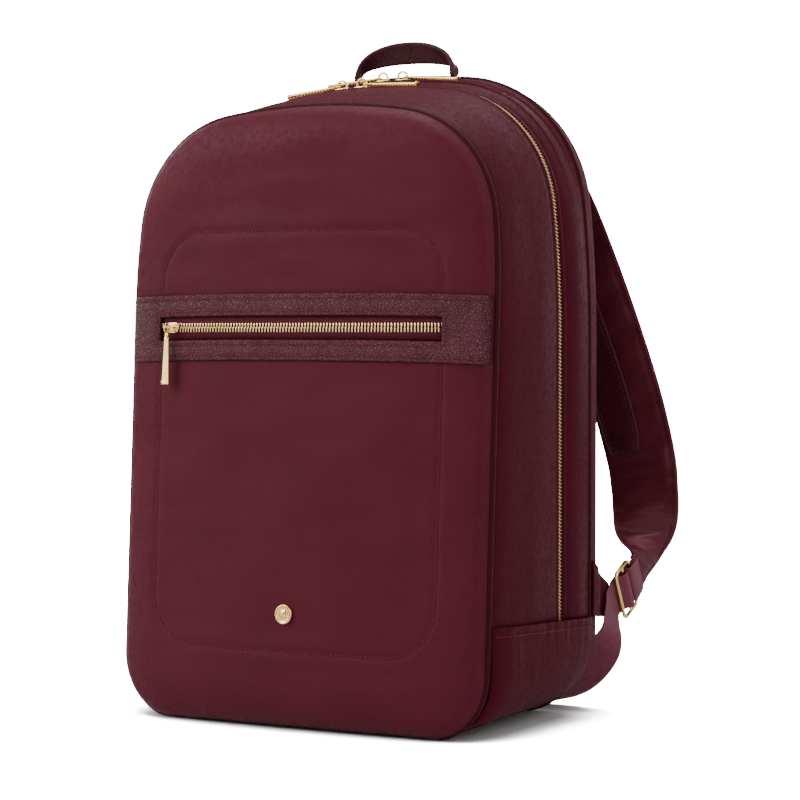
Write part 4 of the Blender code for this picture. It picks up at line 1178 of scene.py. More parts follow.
def leather_band():
    half = HALF * 0.992
    xs = [(2.0 * u - 1.0) * half for u in spread(120, 0.5)]
    for mark in (-POCKET_HALF, POCKET_HALF):
        xs += [mark, mark - 0.5, mark + 0.5, mark - 1.1, mark + 1.1]
    xs = sorted(set(xs))
    edges = (BAND_LOW, POCKET_Z - WINDOW, POCKET_Z + WINDOW, BAND_HIGH)
    zs = set()
    for edge, ways in ((edges[0], (1,)), (edges[1], (1, -1)), (edges[2], (1, -1)), (edges[3], (-1,))):
        for way in ways:
            zs |= {edge + way * step for step in (0.0, 0.35, 0.8, 1.4)}
    for low, high in ((edges[0] + 1.4, edges[1] - 1.4), (edges[1] + 1.4, edges[2] - 1.4),
                      (edges[2] + 1.4, edges[3] - 1.4)):
        zs |= {mix(low, high, i / 6) for i in range(7)}
    zs = sorted(zs)
    grid = []
    for z in zs:
        line = []
        for x in xs:
            to_edge = min(z - BAND_LOW, BAND_HIGH - z, half - abs(x))
            inside = min(POCKET_HALF - abs(x), WINDOW - abs(z - POCKET_Z))
            gap = min(to_edge, abs(inside) if inside < 0 else 0.0)
            fold = 1.75 * rounding(gap, 1.1)
            groove = 0.28 * (bell(to_edge - 3.0, 0.55) + bell(-inside - 3.0, 0.55))
            pad = 0.25 * rounding(min(to_edge, -inside if inside < 0 else 0.0) - 3.0, 4.0)
            line.append(Vector((x, band_surface(x, z) - fold + groove - pad,
                                z - 2.2 * (abs(x) / HALF) ** 3)))
        grid.append(line)

    def keep(i, j):
        x, z = (xs[j] + xs[j + 1]) / 2, (zs[i] + zs[i + 1]) / 2
        return abs(x) > POCKET_HALF or abs(z - POCKET_Z) > WINDOW
    made = wall("leather_zip_band", grid, 0.6, LEATHER, keep)
    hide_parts("leather_band")
    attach(made, "flap")

    def over(x, z):
        return band_surface(x, z) - 1.62
    lines = []
    for z in (BAND_LOW + 3.0, BAND_HIGH - 3.0):
        lines.append([(x, z) for x in [mix(-half + 3.0, half - 3.0, i / 90) for i in range(91)]])
    lines.append(dense(rectangle_path(POCKET_HALF + 3.0, POCKET_Z - WINDOW - 3.0, POCKET_Z + WINDOW + 3.0,
                                      2.0, 4)))
    parts = []
    for i, line in enumerate(lines):
        path = [((x, over(x, z), z - 2.2 * (abs(x) / HALF) ** 3), front_up(x, z, over)) for x, z in line]
        parts.append(row(f"band line {i}", path, STITCH_UNIT, STITCH, THREAD, 0.04))
    made = joined("leather_band_stitches", parts)
    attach(made, "flap")


def pocket_zip():
    """Two tapes on the bed behind the leather window, with their meshing teeth."""
    def bed(x, z):
        return front_plain(x, POCKET_Z) + 1.3
    half = POCKET_HALF - 0.4
    xs = [mix(-half, half, i / 80) for i in range(81)]
    for tag, side in (("lower", -1.0), ("upper", 1.0)):
        loops = []
        for x in xs:
            section = ((WINDOW + 1.6, 0.8), (WINDOW + 1.6, 0.1), (3.2, -0.05), (1.2, -0.15), (0.8, -0.45),
                       (0.4, -0.35),
                       (0.3, 0.2), (0.7, 0.6), (2.0, 0.75))
            loops.append([Vector((x, bed(x, POCKET_Z) + depth, POCKET_Z + side * dz)) for dz,
                          depth in section])
        made = loft(f"pocket_tape_{tag}", loops, TAPE)
        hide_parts(f"pocket_chain_{tag}")
        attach(made, "flap")
        path = [((x, bed(x, POCKET_Z) - 0.55, POCKET_Z), front_up(x, POCKET_Z, bed)) for x in xs]
        if side < 0:
            path = shifted(path, CHAIN_PITCH / 2)
        else:
            path = path[::-1]
        made = row(f"pocket_teeth_{tag}", path, TOOTH_UNIT, CHAIN_PITCH, TEETH)
        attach(made, "flap")


# ------------------------------------------------------------------ sliders, bridges and pulls
EYE, EYE_RISE = 3.4, 3.2


def frame_at(origin, along, up):
    along, up = along.normalized(), up.normalized()
    rows = Matrix((along, up.cross(along), up)).transposed().to_4x4()
    return Matrix.Translation(origin) @ rows


def rounded_plate(place, levels, finish, name, squareness=0.55, steps=28):
    """A stack of rounded rectangles: (height, half length, half width)."""
    loops = []
    for height, long, wide in levels:
        ring = []
        for k in range(steps):
            a = 2 * math.pi * k / steps
            c, s = math.cos(a), math.sin(a)
            ring.append(place @ Vector((long * math.copysign(abs(c) ** squareness, c),
                                        wide * math.copysign(abs(s) ** squareness, s), height)))
        loops.append(ring)
    return loft(name, loops, finish, crisp=50.0)


def slider(name, place, body, node):
    parts = [rounded_plate(place, ((0.35, 4.6, 3.3), (0.7, 5.0, 3.6), (1.25, 5.0, 3.55), (1.6, 4.75, 3.2),
                                   (1.75, 4.3, 2.7)),
                           GOLD, f"{name} top"),
             rounded_plate(place, ((-3.3, 4.6, 2.4), (-2.9, 4.9, 2.6), (-2.4, 4.9, 2.6), (-2.2, 4.6, 2.3)),
                           GOLD, f"{name} sole"),
             rounded_plate(place, ((-2.4, 4.2, 0.34), (0.6, 4.2, 0.34)), GOLD, f"{name} web", 0.4, 12)]
    turns = [(-EYE, 0.8), (-EYE, EYE_RISE * 0.6)]
    turns += [(-EYE * math.cos(a), EYE_RISE + EYE * math.sin(a))
              for a in (math.pi * k / 18 for k in range(19))]
    turns += [(EYE, EYE_RISE * 0.6), (EYE, 0.8)]
    wire = [place @ Vector((s, 0.0, h)) for s, h in turns]
    lean = (place.to_3x3() @ Vector((0.0, 1.0, 0.0))).normalized()
    parts.append(loft(f"{name} bridge", tube_loops(wire, 0.74, 12, lean=lean), GOLD))
    for way in (-1.0, 1.0):
        foot = place @ Matrix.Translation(Vector((way * EYE, 0.0, 0.0)))
        parts.append(rounded_plate(foot, ((1.5, 1.3, 1.3), (2.1, 1.2, 1.2), (2.4, 0.8, 0.8)), GOLD,
                                   f"{name} foot", 1.0, 14))
    made = joined(f"{name}_cast", parts)
    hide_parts(node)
    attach(made, body)


def bar_loops(place, centre, out, across, rise, stations, sides=12):
    loops = []
    for reach, wide, thick in stations:
        middle = centre + out * reach
        loops.append([place @ (middle + across * wide * math.cos(a) + rise * thick * math.sin(a))
                      for a in (2 * math.pi * (k + 0.5) / sides for k in range(sides))])
    return loops


def pull(name, place, direction, tilt, length, node):
    """A ring on the bridge and a tapered faceted bar with a flat face at its wide end."""
    centre = Vector((0.0, 0.0, EYE_RISE))
    out = Vector((direction * math.cos(tilt), 0.0, -math.sin(tilt)))
    rise = Vector((direction * math.sin(tilt), 0.0, math.cos(tilt)))
    across = Vector((0.0, 1.0, 0.0))
    eye = centre + out * EYE
    hoop = [place @ (eye + (out * math.cos(a) + across * math.sin(a)) * 1.8) for a in
            (2 * math.pi * k / 28 for k in range(28))]
    lean = (place.to_3x3() @ rise).normalized()
    parts = [loft(f"{name} ring", tube_loops(hoop, 0.62, 10, True, lean), GOLD, closed=True)]
    start = EYE + 2.1
    stations = ((start, 0.7, 0.6), (start + 0.5, 1.05, 0.95), (start + 1.4, 1.1, 0.95),
                (start + 2.0, 0.85, 0.8),
                (start + 2.8, 1.15, 1.0), (start + length * 0.5, 1.85, 1.45),
                (start + length - 1.6, 2.45, 1.75),
                (start + length - 1.3, 2.6, 1.85), (start + length - 0.3, 2.6, 1.85),
                (start + length, 2.35, 1.65))
    bar = loft(f"{name} bar", bar_loops(place, centre, out, across, rise, stations, 10), GOLD, smooth=False)
    parts.append(bevelled(bar, 0.16, 2, 12.0))
    made = joined(f"{name}_cast", parts)
    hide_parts(node)
    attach(made, node)


def hanging_pull(place):
    centre = Vector((0.0, 0.0, EYE_RISE + EYE))
    down, across, out = Vector((0.0, -1.0, 0.0)), Vector((1.0, 0.0, 0.0)), Vector((0.0, 0.0, 1.0))
    hoop = [place @ (centre + down * 0.8 + (down * math.cos(a) + out * math.sin(a)) * 2.4) for a in
            (2 * math.pi * k / 28 for k in range(28))]
    lean = (place.to_3x3() @ across).normalized()
    parts = [loft("pocket pull ring", tube_loops(hoop, 0.62, 10, True, lean), GOLD, closed=True)]
    stations = ((3.3, 0.7, 0.5), (4.0, 1.5, 0.9), (5.4, 1.6, 0.95), (6.2, 1.2, 0.8), (7.2, 2.0, 1.1),
                (21.0, 2.75, 1.35),
                (34.6, 3.45, 1.6), (34.9, 3.6, 1.7), (36.2, 3.6, 1.7), (36.5, 3.35, 1.5))
    bar = loft("pocket pull bar", bar_loops(place, centre, down, across, out, stations, 8), GOLD,
               smooth=False)
    parts.append(bar)
    made = joined("pocket_pull_cast", parts)
    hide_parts("pocket_pull")
    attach(made, "pocket_pull")


def zip_hardware():
    for prefix, y, left_x, right_x in (("main", ZIP_Y, -28.0, -13.0), ("laptop", LAPTOP_Y, -12.0, 3.0)):
        hub = Vector((0.0, y, top_height(0.0, y) - TOP_RADIUS))
        for tag, x, way in (("left", left_x, -1.0), ("right", right_x, 1.0)):
            a = math.asin(x / TOP_RADIUS)
            up = Vector((math.sin(a), 0.0, math.cos(a)))
            place = frame_at(hub + up * TOP_RADIUS, Vector((math.cos(a), 0.0, -math.sin(a))), up)
            slider(f"{prefix}_slider_{tag}", place, f"{prefix}_slider_{tag}", f"{prefix}_slider_{tag}")
            pull(f"{prefix}_pull_{tag}", place, way, math.radians(4.0), 37.0, f"{prefix}_pull_{tag}")
    x, radius, lean = -94.0, HALF ** 2 / (2 * 9.8), math.atan(0.054)
    hub = Vector((0.0, front_y(POCKET_Z) - 3.9 - 17.1 + radius, POCKET_Z))
    a = math.asin(x / radius)
    out = Vector((math.sin(a), -math.cos(a), 0.0))
    up = out * math.cos(lean) + Vector((0.0, 0.0, math.sin(lean)))
    place = frame_at(hub + out * radius, Vector((math.cos(a), math.sin(a), 0.0)), up)
    slider("pocket_slider", place, "pocket_slider", "pocket_slider")
    hanging_pull(place)


def badge():
    """A plain round rivet badge: a raised rim, a ring of dots and a smooth dome."""
    z = 72.0
    lean = math.atan(0.054)
    base = Vector((0.0, front_plain(0.0, z), z))
    out = Vector((0.0, -math.cos(lean), math.sin(lean)))
    side, up = Vector((1.0, 0.0, 0.0)), Vector((0.0, math.sin(lean), math.cos(lean)))
    loops = []
    for radius, lift in ((5.6, 0.2), (6.1, 0.5), (6.2, 1.1), (6.0, 1.6), (5.6, 1.85), (5.2, 1.8),
                         (4.95, 1.4), (4.8, 1.15),
                         (2.6, 1.15), (2.35, 1.4), (2.0, 1.7), (1.4, 1.95), (0.6, 2.05)):
        loops.append([base + out * lift + (side * math.cos(a) + up * math.sin(a)) * radius
                      for a in (2 * math.pi * k / 48 for k in range(48))])
    parts = [loft("badge disc", loops, GOLD)]
    for i in range(12):
        a = 2 * math.pi * i / 12
        middle = base + (side * math.cos(a) + up * math.sin(a)) * 3.7
        dots = [[middle + out * h + (side * math.cos(b) + up * math.sin(b)) * r for b in
                 (2 * math.pi * k / 8 for k in range(8))] for r,
                h in ((0.5, 1.1), (0.48, 1.35), (0.34, 1.55), (0.12, 1.62))]
        parts.append(loft(f"badge dot {i}", dots, GOLD))
    made = joined("round_badge", parts)
    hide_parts("badge")
    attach(made, "flap")


# ------------------------------------------------------------------ carry handle
HANDLE_Y, HANDLE_Z, FOOT_HALF = 54.0, 417.0, 4.3


def handle_station(a):
    x = math.copysign(abs(math.cos(a)) ** 0.92, math.cos(a))
    h = abs(math.sin(a)) ** 0.92
    front = Vector((x * 36.2, HANDLE_Y - FOOT_HALF + 5.8 * h, HANDLE_Z + 21.6 * h))
    rear = Vector((x * 37.4, HANDLE_Y + FOOT_HALF + 2.4 * h, HANDLE_Z + 7.4 * h))
    return front, rear


def carry_handle():
    stations = []
    feet = [(depth, 2.0 * math.sqrt(FOOT_HALF ** 2 - depth ** 2)) for depth in (4.15, 3.6, 2.6, 1.3)]
    for depth, width in feet:
        stations.append((36.8, HANDLE_Y, HANDLE_Z - depth, 0.0, 1.0, 0.0, width))
    for i in range(65):
        front, rear = handle_station(math.pi * i / 64)
        across = rear - front
        stations.append(((front + rear) / 2).to_tuple() + across.normalized().to_tuple() + (across.length,))
    for depth, width in reversed(feet):
        stations.append((-36.8, HANDLE_Y, HANDLE_Z - depth, 0.0, 1.0, 0.0, width))

    def section(share, half):
        run = []
        for k in range(28):
            a = 2 * math.pi * k / 28
            c, s = math.cos(a), math.sin(a)
            across = -half * math.copysign(abs(c) ** 0.5, c)
            height = 1.35 * math.copysign(abs(s) ** 0.7, s)
            height += 0.35 * bell(half - abs(across) - 1.2, 1.3) * math.copysign(1.0, height)
            height -= 0.32 * bell(half - abs(across) - 3.4, 0.6) * math.copysign(1.0, height)
            run.append((across, height))
        return run
    made = loft("handle_grip", strap_loops(stations, section), GRIP)
    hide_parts("carry_handle")
    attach(made, "handle")
    parts = []
    for edge in (0.24, 0.76):
        for face in (-1.0, 1.0):
            path = []
            for i in range(3, 62):
                front, rear = handle_station(math.pi * i / 64)
                near, nearer = handle_station(math.pi * (i + 1) / 64)
                across = (rear - front).normalized()
                tangent = (near.lerp(nearer, 0.5) - front.lerp(rear, 0.5)).normalized()
                up = across.cross(tangent).normalized() * face
                path.append((front.lerp(rear, edge) + up * 1.18, up))
            parts.append(row(f"handle line {edge} {face}", path, FINE_STITCH, 2.6, THREAD, 0.05))
    made = joined("handle_stitches", parts)
    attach(made, "handle")


leather_band()
pocket_zip()
zip_hardware()
badge()
carry_handle()


# ------------------------------------------------------------------ padded back and luggage sleeve
def back_pad():
    """Foam back: twill sides rolled over at the rear seam, and a stitched mesh face."""
    levels = ((61.3, 1.8), (61.7, 0.7), (62.6, 0.3), (64.5, 0.3), (67.5, 0.35), (70.0, 0.5), (72.0, 1.1),
              (73.2, 2.2),
              (73.9, 3.6), (74.1, 4.8))
    sides = [[Vector((x, y, max(z, 0.3))) for x, z in whole_outline(REAR_SEAM, inset)] for y,
             inset in levels]
    made = loft("back_pad_sides", sides, TWILL)
    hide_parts("back_panel")
    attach(made, "bag")

    middle = Vector((0.0, 0.0, 208.0))
    rim = whole_outline(REAR_SEAM, 5.2)
    loops = [[Vector((x, 73.0, z)) for x, z in rim], [Vector((x, 74.6, z)) for x, z in rim]]
    inner = whole_outline(REAR_SEAM, 8.5)
    for share in (0.0, 0.3, 0.65, 1.0):
        ring = []
        for (ax, az), (bx, bz) in zip(rim, inner):
            ring.append(Vector((mix(ax, bx, share), mix(74.9, 76.0, math.sin(share * math.pi / 2)),
                                mix(az, bz, share))))
        loops.append(ring)
    for i in range(1, 46):
        f = 1.0 - i / 46.0
        ring = []
        for bx, bz in inner:
            x, z = bx * f, middle.z + (bz - middle.z) * f
            ring.append(Vector((x, back_face_y(x, z), z)))
        loops.append(ring)
    made = loft("back_pad_face", loops, MESH)
    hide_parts("back_mesh")
    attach(made, "bag")

    cord = [(x, REAR_SEAM, max(z, 1.7)) for x, z in whole_outline(REAR_SEAM, 0.3)]
    made = loft("rear_piping_cord", tube_loops(cord, 1.65, 12, True), PIPING_PAINTED_DARKER, closed=True)
    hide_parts("rear_piping")
    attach(made, "bag")


def back_face_y(x, z):
    """y of the mesh face, with its spine groove and the channels stitched across it."""
    y = 76.3 - 1.9 * bell(x, 4.0) * ease((395.0 - z) / 20.0) * ease((z - 30.0) / 20.0)
    for line in (96.0, 172.0, 262.0, 330.0):
        y -= 1.5 * bell(z - line - 6.0 * (1.0 - (x / 110.0) ** 2), 2.6) * ease(abs(x) / 10.0)
    y -= 0.9 * bell(abs(x) - 78.0, 3.0)
    return y + 0.2 * wander(x, z, 3.0, 18.0)


def luggage_sleeve():
    """A band across the back, sewn down both sides, hemmed and open above and below."""
    low, high, half = 42.0, 248.0, 126.0
    grid = []
    for i in range(91):
        z = mix(low, high, i / 90)
        line = []
        for u in spread(80, 0.4):
            x = mix(-half, half, u)
            y = BACK_FACE + 1.5 + 5.3 * (1.0 - (x / half) ** 2)
            y += 0.55 * wander(x * 0.5, z * 1.5, 2.0, 26.0) * ease((half - abs(x)) / 30.0)
            for edge in (high - z, z - low):
                y += 0.45 * ease((13.0 - edge) / 1.2) - 0.4 * bell(edge - 11.0, 0.9)
            y -= 0.35 * bell(half - abs(x) - 4.0, 0.9)
            line.append(Vector((x, y, z)))
        grid.append(line)
    made = wall("luggage_sleeve_cloth", grid, 1.0, NYLON, flip=True)
    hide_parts("luggage_sleeve")
    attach(made, "bag")
    parts = []
    for i, z in enumerate((low + 11.0, high - 11.0)):
        path = []
        for k in range(81):
            x = mix(-half + 2.0, half - 2.0, k / 80)
            path.append(((x, BACK_FACE + 1.75 + 5.3 * (1.0 - (x / half) ** 2), z), (0.0, 1.0, 0.0)))
        parts.append(row(f"sleeve line {i}", path, STITCH_UNIT, STITCH, THREAD, 0.05))
    for side in (-1.0, 1.0):
        x = side * (half - 4.0)
        path = [((x, BACK_FACE + 1.62 + 5.3 * (1.0 - (x / half) ** 2), mix(low + 2.0, high - 2.0, k / 60)),
                 (0.0, 1.0, 0.0))
                for k in range(61)]
        parts.append(row(f"sleeve side {side}", path, STITCH_UNIT, STITCH, THREAD, 0.05))
    stitches = joined("luggage_sleeve_stitches", parts)
    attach(stitches, "bag")


# ------------------------------------------------------------------ shoulder straps
BUCKLE = Vector((134.2, 112.3, 77.5))
BUCKLE_LONG = Vector((0.0, 0.447, -0.894))
BUCKLE_RUN = Vector((0.0, 0.894, 0.447))
STRAP_PATH = (      # x, y, z, width direction, width
    (68, 87.5, 379, 1, 0, 0, 36), (77, 91.5, 355, 1, 0, 0, 50), (90, 98.5, 323, 1, 0, 0, 57),
    (105, 115, 270, 1, 0, 0, 57), (119, 133, 212, 1, 0, 0, 54), (127.5, 143.5, 166, 1, 0, 0, 52),
    (130, 146.5, 140, 0.96, 0.05, -0.28, 49), (132, 146, 118, 0.72, 0.25, -0.64, 43),
    (133.4, 142.6, 101, 0.3, 0.42, -0.85, 36), (134.0, 137.6, 91.4, 0, 0.447, -0.894, 30),
    (134.2, 132.4, 87.5, 0, 0.447, -0.894, 27))


PAD_END = 70        # last station of the inner pad along the strap's curve


def on_buckle(along, out):
    """A point over the buckle: along the strap's run, and outwards from the bag."""
    return BUCKLE + BUCKLE_RUN * along + Vector((out, 0.0, 0.0))


def shell_section(share, half):
    """Outer face of the strap: a padded swell between two bound edges, creased across."""
    run = []
    for k in range(40):
        a = 2 * math.pi * k / 40
        c, s = math.cos(a), math.sin(a)
        across = -half * math.copysign(abs(c) ** 0.62, c)
        gap = half - abs(across)
        crease = wander(share * 560.0, across * 0.35, 2.0, 15.0) + 0.5 * wander(share * 560.0, across * 0.5,
                                                                                8.0, 7.0)
        if s >= 0:
            height = 2.3 + 2.0 * abs(s) ** 0.55 - 0.6 * bell(gap - 3.6, 0.9)
            height += 0.3 * bell(gap - 1.6, 1.2) + 0.9 * crease * rounding(gap - 4.0, 9.0)
        else:
            height = 2.3 - 1.7 * abs(s) ** 0.55 + 0.6 * bell(gap - 3.6, 0.9)
            height += max(2.0 * crease, -1.4) * rounding(gap - 3.0, 7.0)
        run.append((across, height))
    return run


def pad_section(share, half):
    """Inner cushion: crowned, with soft creases lying across it."""
    run = []
    for k in range(36):
        a = 2 * math.pi * k / 36
        c, s = math.cos(a), math.sin(a)
        across = -half * math.copysign(abs(c) ** 0.66, c)
        gap = half - abs(across)
        if s < 0:
            height = -1.5 - 1.8 * abs(s) ** 0.5
            crease = wander(share * 330.0, across * 0.3, 6.0, 11.0)
            height += max(1.7 * crease, -1.6) * rounding(gap - 1.5, 8.0)
            height += 0.45 * bell(gap - 2.8, 0.9)
        else:
            height = -1.5 + 1.0 * abs(s) ** 0.5
        run.append((across, min(height, -0.45)))
    return run


def strap_line(stations, edge, height, side):
    """A stitching line beside one edge of the strap, with its outward direction."""
    centres = [Vector(s[:3]) for s in stations]
    path, last = [], len(stations) - 1
    for i, station in enumerate(stations):
        tangent = (centres[min(i + 1, last)] - centres[max(i - 1, 0)]).normalized()
        across = Vector(station[3:6])
        across = (across - tangent * across.dot(tangent)).normalized()
        normal = across.cross(tangent)
        spot = centres[i] + across * math.copysign(station[6] / 2 - abs(edge), edge) + normal * height
        up = normal * (1.0 if height > 2.3 else -1.0)
        path.append((Vector((spot.x * side, spot.y, spot.z)), Vector((up.x * side, up.y, up.z))))
    return path


def strap(tag, side):
    """One shoulder strap with its pad, stitching, keeper, webbing and buckle."""
    body = f"strap_{tag}"
    path = curve_through(STRAP_PATH, 14)
    shell = loft(f"strap_outer_{tag}", mirrored(strap_loops(path, shell_section), side), STRAP_NYLON_PAINTED_LIGHTER)
    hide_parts(f"strap_shell_{tag}")
    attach(shell, body)
    inner = [(p[0] - 0.16 * p[6],) + p[1:6] + (0.5 * p[6] * rounding(PAD_END - i + 3.0, 9.0),)
             for i, p in enumerate(path[:PAD_END + 1])]
    pad = loft(f"strap_inner_{tag}", mirrored(strap_loops(inner, pad_section), side), STRAP_PAD)
    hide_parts(f"strap_pad_{tag}")
    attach(pad, body)
    parts = []
    for edge in (3.6, -3.6):
        parts.append(row(f"strap line {edge}", strap_line(path[2:-6], edge, 3.7, side), STITCH_UNIT, STITCH,
                         THREAD, 0.05))
    parts.append(row("strap line inside", strap_line(path[2:-6], 3.6, 0.95, side), STITCH_UNIT, STITCH,
                     THREAD, 0.05))
    for edge in (2.8, -2.8):
        parts.append(row(f"pad line {edge}", strap_line(inner[2:-2], edge, -3.05, side), STITCH_UNIT,
                         STITCH, THREAD, 0.05))
    made = joined(f"strap_stitches_{tag}", parts)
    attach(made, body)

    def tape(half_thick):
        def section(share, half):
            run = []
            for k in range(20):
                a = 2 * math.pi * k / 20
                c, s = math.cos(a), math.sin(a)
                run.append((-half * math.copysign(abs(c) ** 0.35, c),
                            half_thick * math.copysign(abs(s) ** 0.6, s)))
            return run
        return section
    turn = ((20.6, 1.3), (16.0, 1.7), (11.0, 2.4), (7.2, 2.3), (5.6, 1.2), (5.6, -1.2), (7.2, -2.3),
            (11.0, -2.4), (16.0, -1.7),
            (20.6, -1.3))
    turn = curve_through(turn, 5)
    stations = [on_buckle(a, o).to_tuple() + BUCKLE_LONG.to_tuple() + (WEB_WIDTH,) for a, o in turn]
    made = loft(f"buckle_keeper_{tag}", mirrored(strap_loops(stations, tape(0.6)), side), WEBBING, uv=True)
    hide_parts(f"buckle_loop_{tag}")
    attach(made, body)

    lace = ((-12.2, -3.9), (-8.0, -3.9), (0.0, -3.8), (2.4, -2.4), (3.1, 0.0), (2.0, 2.1), (0.0, 2.6),
            (-2.2, 2.1), (-4.2, 0.0), (-6.4, -1.8), (-9.6, -2.3), (-14.0, -2.3), (-17.5, -2.3))
    stations = [on_buckle(a, o).to_tuple() + BUCKLE_LONG.to_tuple() + (WEB_WIDTH,) for a,
                o in curve_through(lace, 4)]
    tail = curve_through(((131.9, 96.7, 69.7, 0, 0.447, -0.894, 25), (132.9, 93.8, 60, 0, 0.66, -0.75, 25),
                          (132.6, 92, 50, 0.06, 0.68, -0.73, 25), (128.8, 90.2, 39, 0.38, 0.66, -0.64, 25),
                          (121, 89.3, 27.5, 0.52, 0.67, -0.5, 25), (111, 89, 16.5, 0.42, 0.83, -0.37, 25),
                          (100, 89.5, 7.6, 0.18, 0.97, -0.16, 25), (90, 90, 3.0, 0, 1, 0, 25),
                          (78, 90, 1.5, 0, 1, 0, 25), (62, 90, 1.2, 0, 1, 0, 25)), 8)
    stations += tail[1:]
    made = loft(f"load_webbing_{tag}", mirrored(strap_loops(stations, tape(0.62)), side), WEBBING, uv=True)
    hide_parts(f"webbing_{tag}")
    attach(made, body)
    ladder_buckle(tag, side)


def bar_between(name, a, b, wide, thick, steps=18):
    """A metal bar with softly rounded edges, given in the buckle's (long, run) directions."""
    loops = []
    start, end = on_frame(*a), on_frame(*b)
    axis = (end - start).normalized()
    out = Vector((1.0, 0.0, 0.0))
    across = axis.cross(out)
    for share in (0.0, 1.0):
        middle = start.lerp(end, share)
        loops.append([middle + across * wide * math.copysign(abs(math.cos(t)) ** 0.6, math.cos(t))
                      + out * thick * math.copysign(abs(math.sin(t)) ** 0.6, math.sin(t))
                      for t in (2 * math.pi * k / steps for k in range(steps))])
    return loft(name, loops, GOLD, crisp=50.0)


def on_frame(long, run):
    """A point of the buckle's own plane."""
    return BUCKLE + BUCKLE_LONG * long + BUCKLE_RUN * run


def ladder_buckle(tag, side):
    """Cast frame with a crossbar; its upper corners round off into an ear."""
    path = []
    for cx, cy, start, reach in ((13.4, 7.0, 0.0, 3.2), (-12.2, 5.6, 90.0, 4.6), (-12.2, -5.6, 180.0, 4.6),
                                 (13.4, -7.0, 270.0, 3.2)):
        for i in range(9):
            a = math.radians(start + 90.0 * i / 8)
            path.append((cx + reach * math.cos(a), cy + reach * math.sin(a)))
    loops = []
    count = len(path)
    for i, (long, run) in enumerate(path):
        before, after = path[i - 1], path[(i + 1) % count]
        tangent = (on_frame(*after) - on_frame(*before)).normalized()
        out = Vector((1.0, 0.0, 0.0))
        across = tangent.cross(out)
        loops.append([on_frame(long, run) + across * 1.35 * math.copysign(abs(math.cos(t)) ** 0.65,
                                                                          math.cos(t))
                      + out * 1.15 * math.copysign(abs(math.sin(t)) ** 0.65, math.sin(t))
                      for t in (2 * math.pi * k / 18 for k in range(18))])
    parts = [loft("buckle frame", mirrored(loops, side), GOLD, closed=True)]
    bar = bar_between("buckle bar", (-16.4, 0.0), (16.2, 0.0), 1.25, 1.0)
    for vert in bar.data.vertices:
        vert.co.x *= side
    if side < 0:
        bar.data.flip_normals()
    parts.append(bar)
    made = joined(f"ladder_buckle_{tag}", parts)
    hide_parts(f"buckle_{tag}")
    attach(made, f"strap_{tag}")


def wing(tag, side):
    """Triangular nylon tab from the rear side seam to the webbing, stitched round its edge."""
    plane = BUCKLE.x - 4.3
    tip = on_buckle(-14.0, 0.0)
    high, low = tip - BUCKLE_LONG * 13.0, tip + BUCKLE_LONG * 13.0

    def point(across, down, lift=0.0):
        y = mix(61.9, mix(high.y, low.y, down), across)
        top = mix(100.0, high.z, across)
        bottom = mix(64.0, low.z, across)
        z = mix(top, bottom, down)
        marks = ((61.9, 135.0), (69.5, 134.6), (73.0, 133.4), (76.0, 131.6), (80.0, 130.4), (84.0, plane),
                 (110.0, plane))
        x = plane
        for (ya, xa), (yb, xb) in zip(marks, marks[1:]):
            if ya <= y <= yb:
                x = mix(xa, xb, ease((y - ya) / (yb - ya)))
        edge = min(down, 1.0 - down) * (top - bottom)
        puff = 0.35 * rounding(edge - 3.0, 8.0) - 0.3 * bell(edge - 3.0, 0.8) + 0.25 * wander(y, z, 4.0,
                10.0) * rounding(edge, 6.0)
        return Vector(((x + 0.7 + puff + lift) * side, y, z))
    grid = [[point(i / 40, j / 30) for j in range(31)] for i in range(41)]
    made = wall(f"wing_cloth_{tag}", grid, 1.3, NYLON, flip=side < 0)
    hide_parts(f"wing_{tag}")
    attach(made, "bag")
    parts = []
    for down in (0.09, 0.91):
        path = [(point(mix(0.03, 0.97, i / 30), down, -0.1), (side, 0.0, 0.0)) for i in range(31)]
        parts.append(row(f"wing line {down}", path, STITCH_UNIT, STITCH, THREAD, 0.05))
    made = joined(f"wing_stitches_{tag}", parts)
    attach(made, "bag")


def strap_root(tag, side):
    """Reinforcing patch at the top of the back, box-stitched over the strap's end."""
    low, high = Vector((48.0, BACK_FACE + 0.3, 356.0)), Vector((88.0, 79.0, 384.0))
    grid = []
    for i in range(29):
        line = []
        for j in range(41):
            x, z = mix(low.x, high.x, j / 40), mix(low.z, high.z, i / 28)
            gap = min(x - low.x, high.x - x, z - low.z, high.z - z)
            y = mix(low.y + 1.3, high.y - 0.2, rounding(gap, 3.0)) - 0.45 * bell(gap - 3.5, 0.8)
            line.append(Vector((x * side, y, z)))
        grid.append(line)
    made = wall(f"strap_root_cloth_{tag}", grid, 1.2, NYLON, flip=side > 0)
    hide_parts(f"strap_root_{tag}")
    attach(made, "bag")
    path = [((x * side, high.y - 0.45, z), (0.0, 1.0, 0.0)) for x, z in
            dense([(low.x + 3.5, low.z + 3.5), (high.x - 3.5, low.z + 3.5), (high.x - 3.5, high.z - 3.5),
                   (low.x + 3.5, high.z - 3.5), (low.x + 3.5, low.z + 3.5)])]
    made = row(f"strap_root_stitches_{tag}", path, STITCH_UNIT, STITCH, THREAD, 0.05)
    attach(made, "bag")


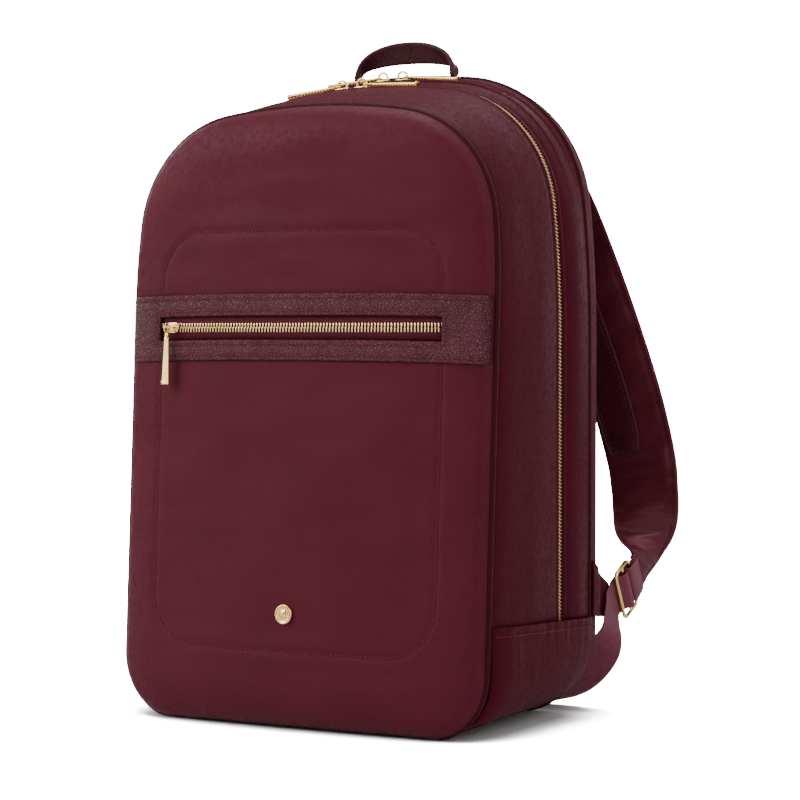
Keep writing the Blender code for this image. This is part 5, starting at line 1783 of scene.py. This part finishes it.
# ------------------------------------------------------------------ inside
def inner_pieces():
    """The compartment divider, the pouch behind the front zip, and the base board's finish."""
    outline = whole_outline(30.0, 5.4)
    loops = []
    for y, inset in ((32.75, 1.0), (32.6, 2.0), (33.1, 5.0)):
        loops.append([Vector((x * (1 - (inset - 1) / 130), y, 200 + (z - 200) * (1 - (inset - 1) / 200)))
                      for x, z in outline])
    front = loops[-1]
    for i in range(1, 16):
        f = 1.0 - i / 16
        loops.append([Vector((p.x * f, p.y - 0.35 * wander(p.x * f, p.z * f, 3.0, 40.0),
                              200 + (p.z - 200) * f)) for p in front])
    rear = [[Vector((p.x, 35.0 - max(p.y - 32.6, 0.0) * 0.3, p.z)) for p in loop] for loop in loops]
    made = loft("divider_cloth", loops[::-1] + rear, LINING)
    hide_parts("laptop_divider")
    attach(made, "bag")

    low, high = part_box("front_pocket_bag")
    x0, x1, z0, z1 = low[0] / MM, high[0] / MM, low[2] / MM, high[2] / MM
    grid = []
    for i in range(41):
        line = []
        for j in range(49):
            x, z = mix(x0 + 0.3, x1 - 0.3, j / 48), mix(z0 + 0.3, z1 - 0.3, i / 40)
            gap = min(x - x0, x1 - x, z - z0, z1 - z)
            y = front_y(z) - 9.5 + 13.0 * rounding(gap, 7.0) + 0.5 * wander(x, z, 8.0, 30.0) * rounding(gap,
                    30.0)
            line.append(Vector((x, y, z)))
        grid.append(line)
    made = wall("pocket_pouch", grid, 0.8, LINING, flip=True)
    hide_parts("front_pocket_bag")
    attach(made, "flap")
    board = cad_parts["base_board"]
    for slot in board.material_slots:
        slot.material = BOARD


STRAP_PAD = cloth("strap lining", (0.026, 0.0026, 0.0060), (0.070, 0.0090, 0.0180), 0.0006, 0.0, 0.25,
                  (0.42, 0.58), 0.00005, specular=0.25)
back_pad()
luggage_sleeve()
strap("right", 1.0)
strap("left", -1.0)
wing("right", 1.0)
wing("left", -1.0)
strap_root("right", 1.0)
strap_root("left", -1.0)
inner_pieces()


# ------------------------------------------------------------------ the row units leave the scene
for unit in UNITS:
    bpy.data.objects.remove(unit)
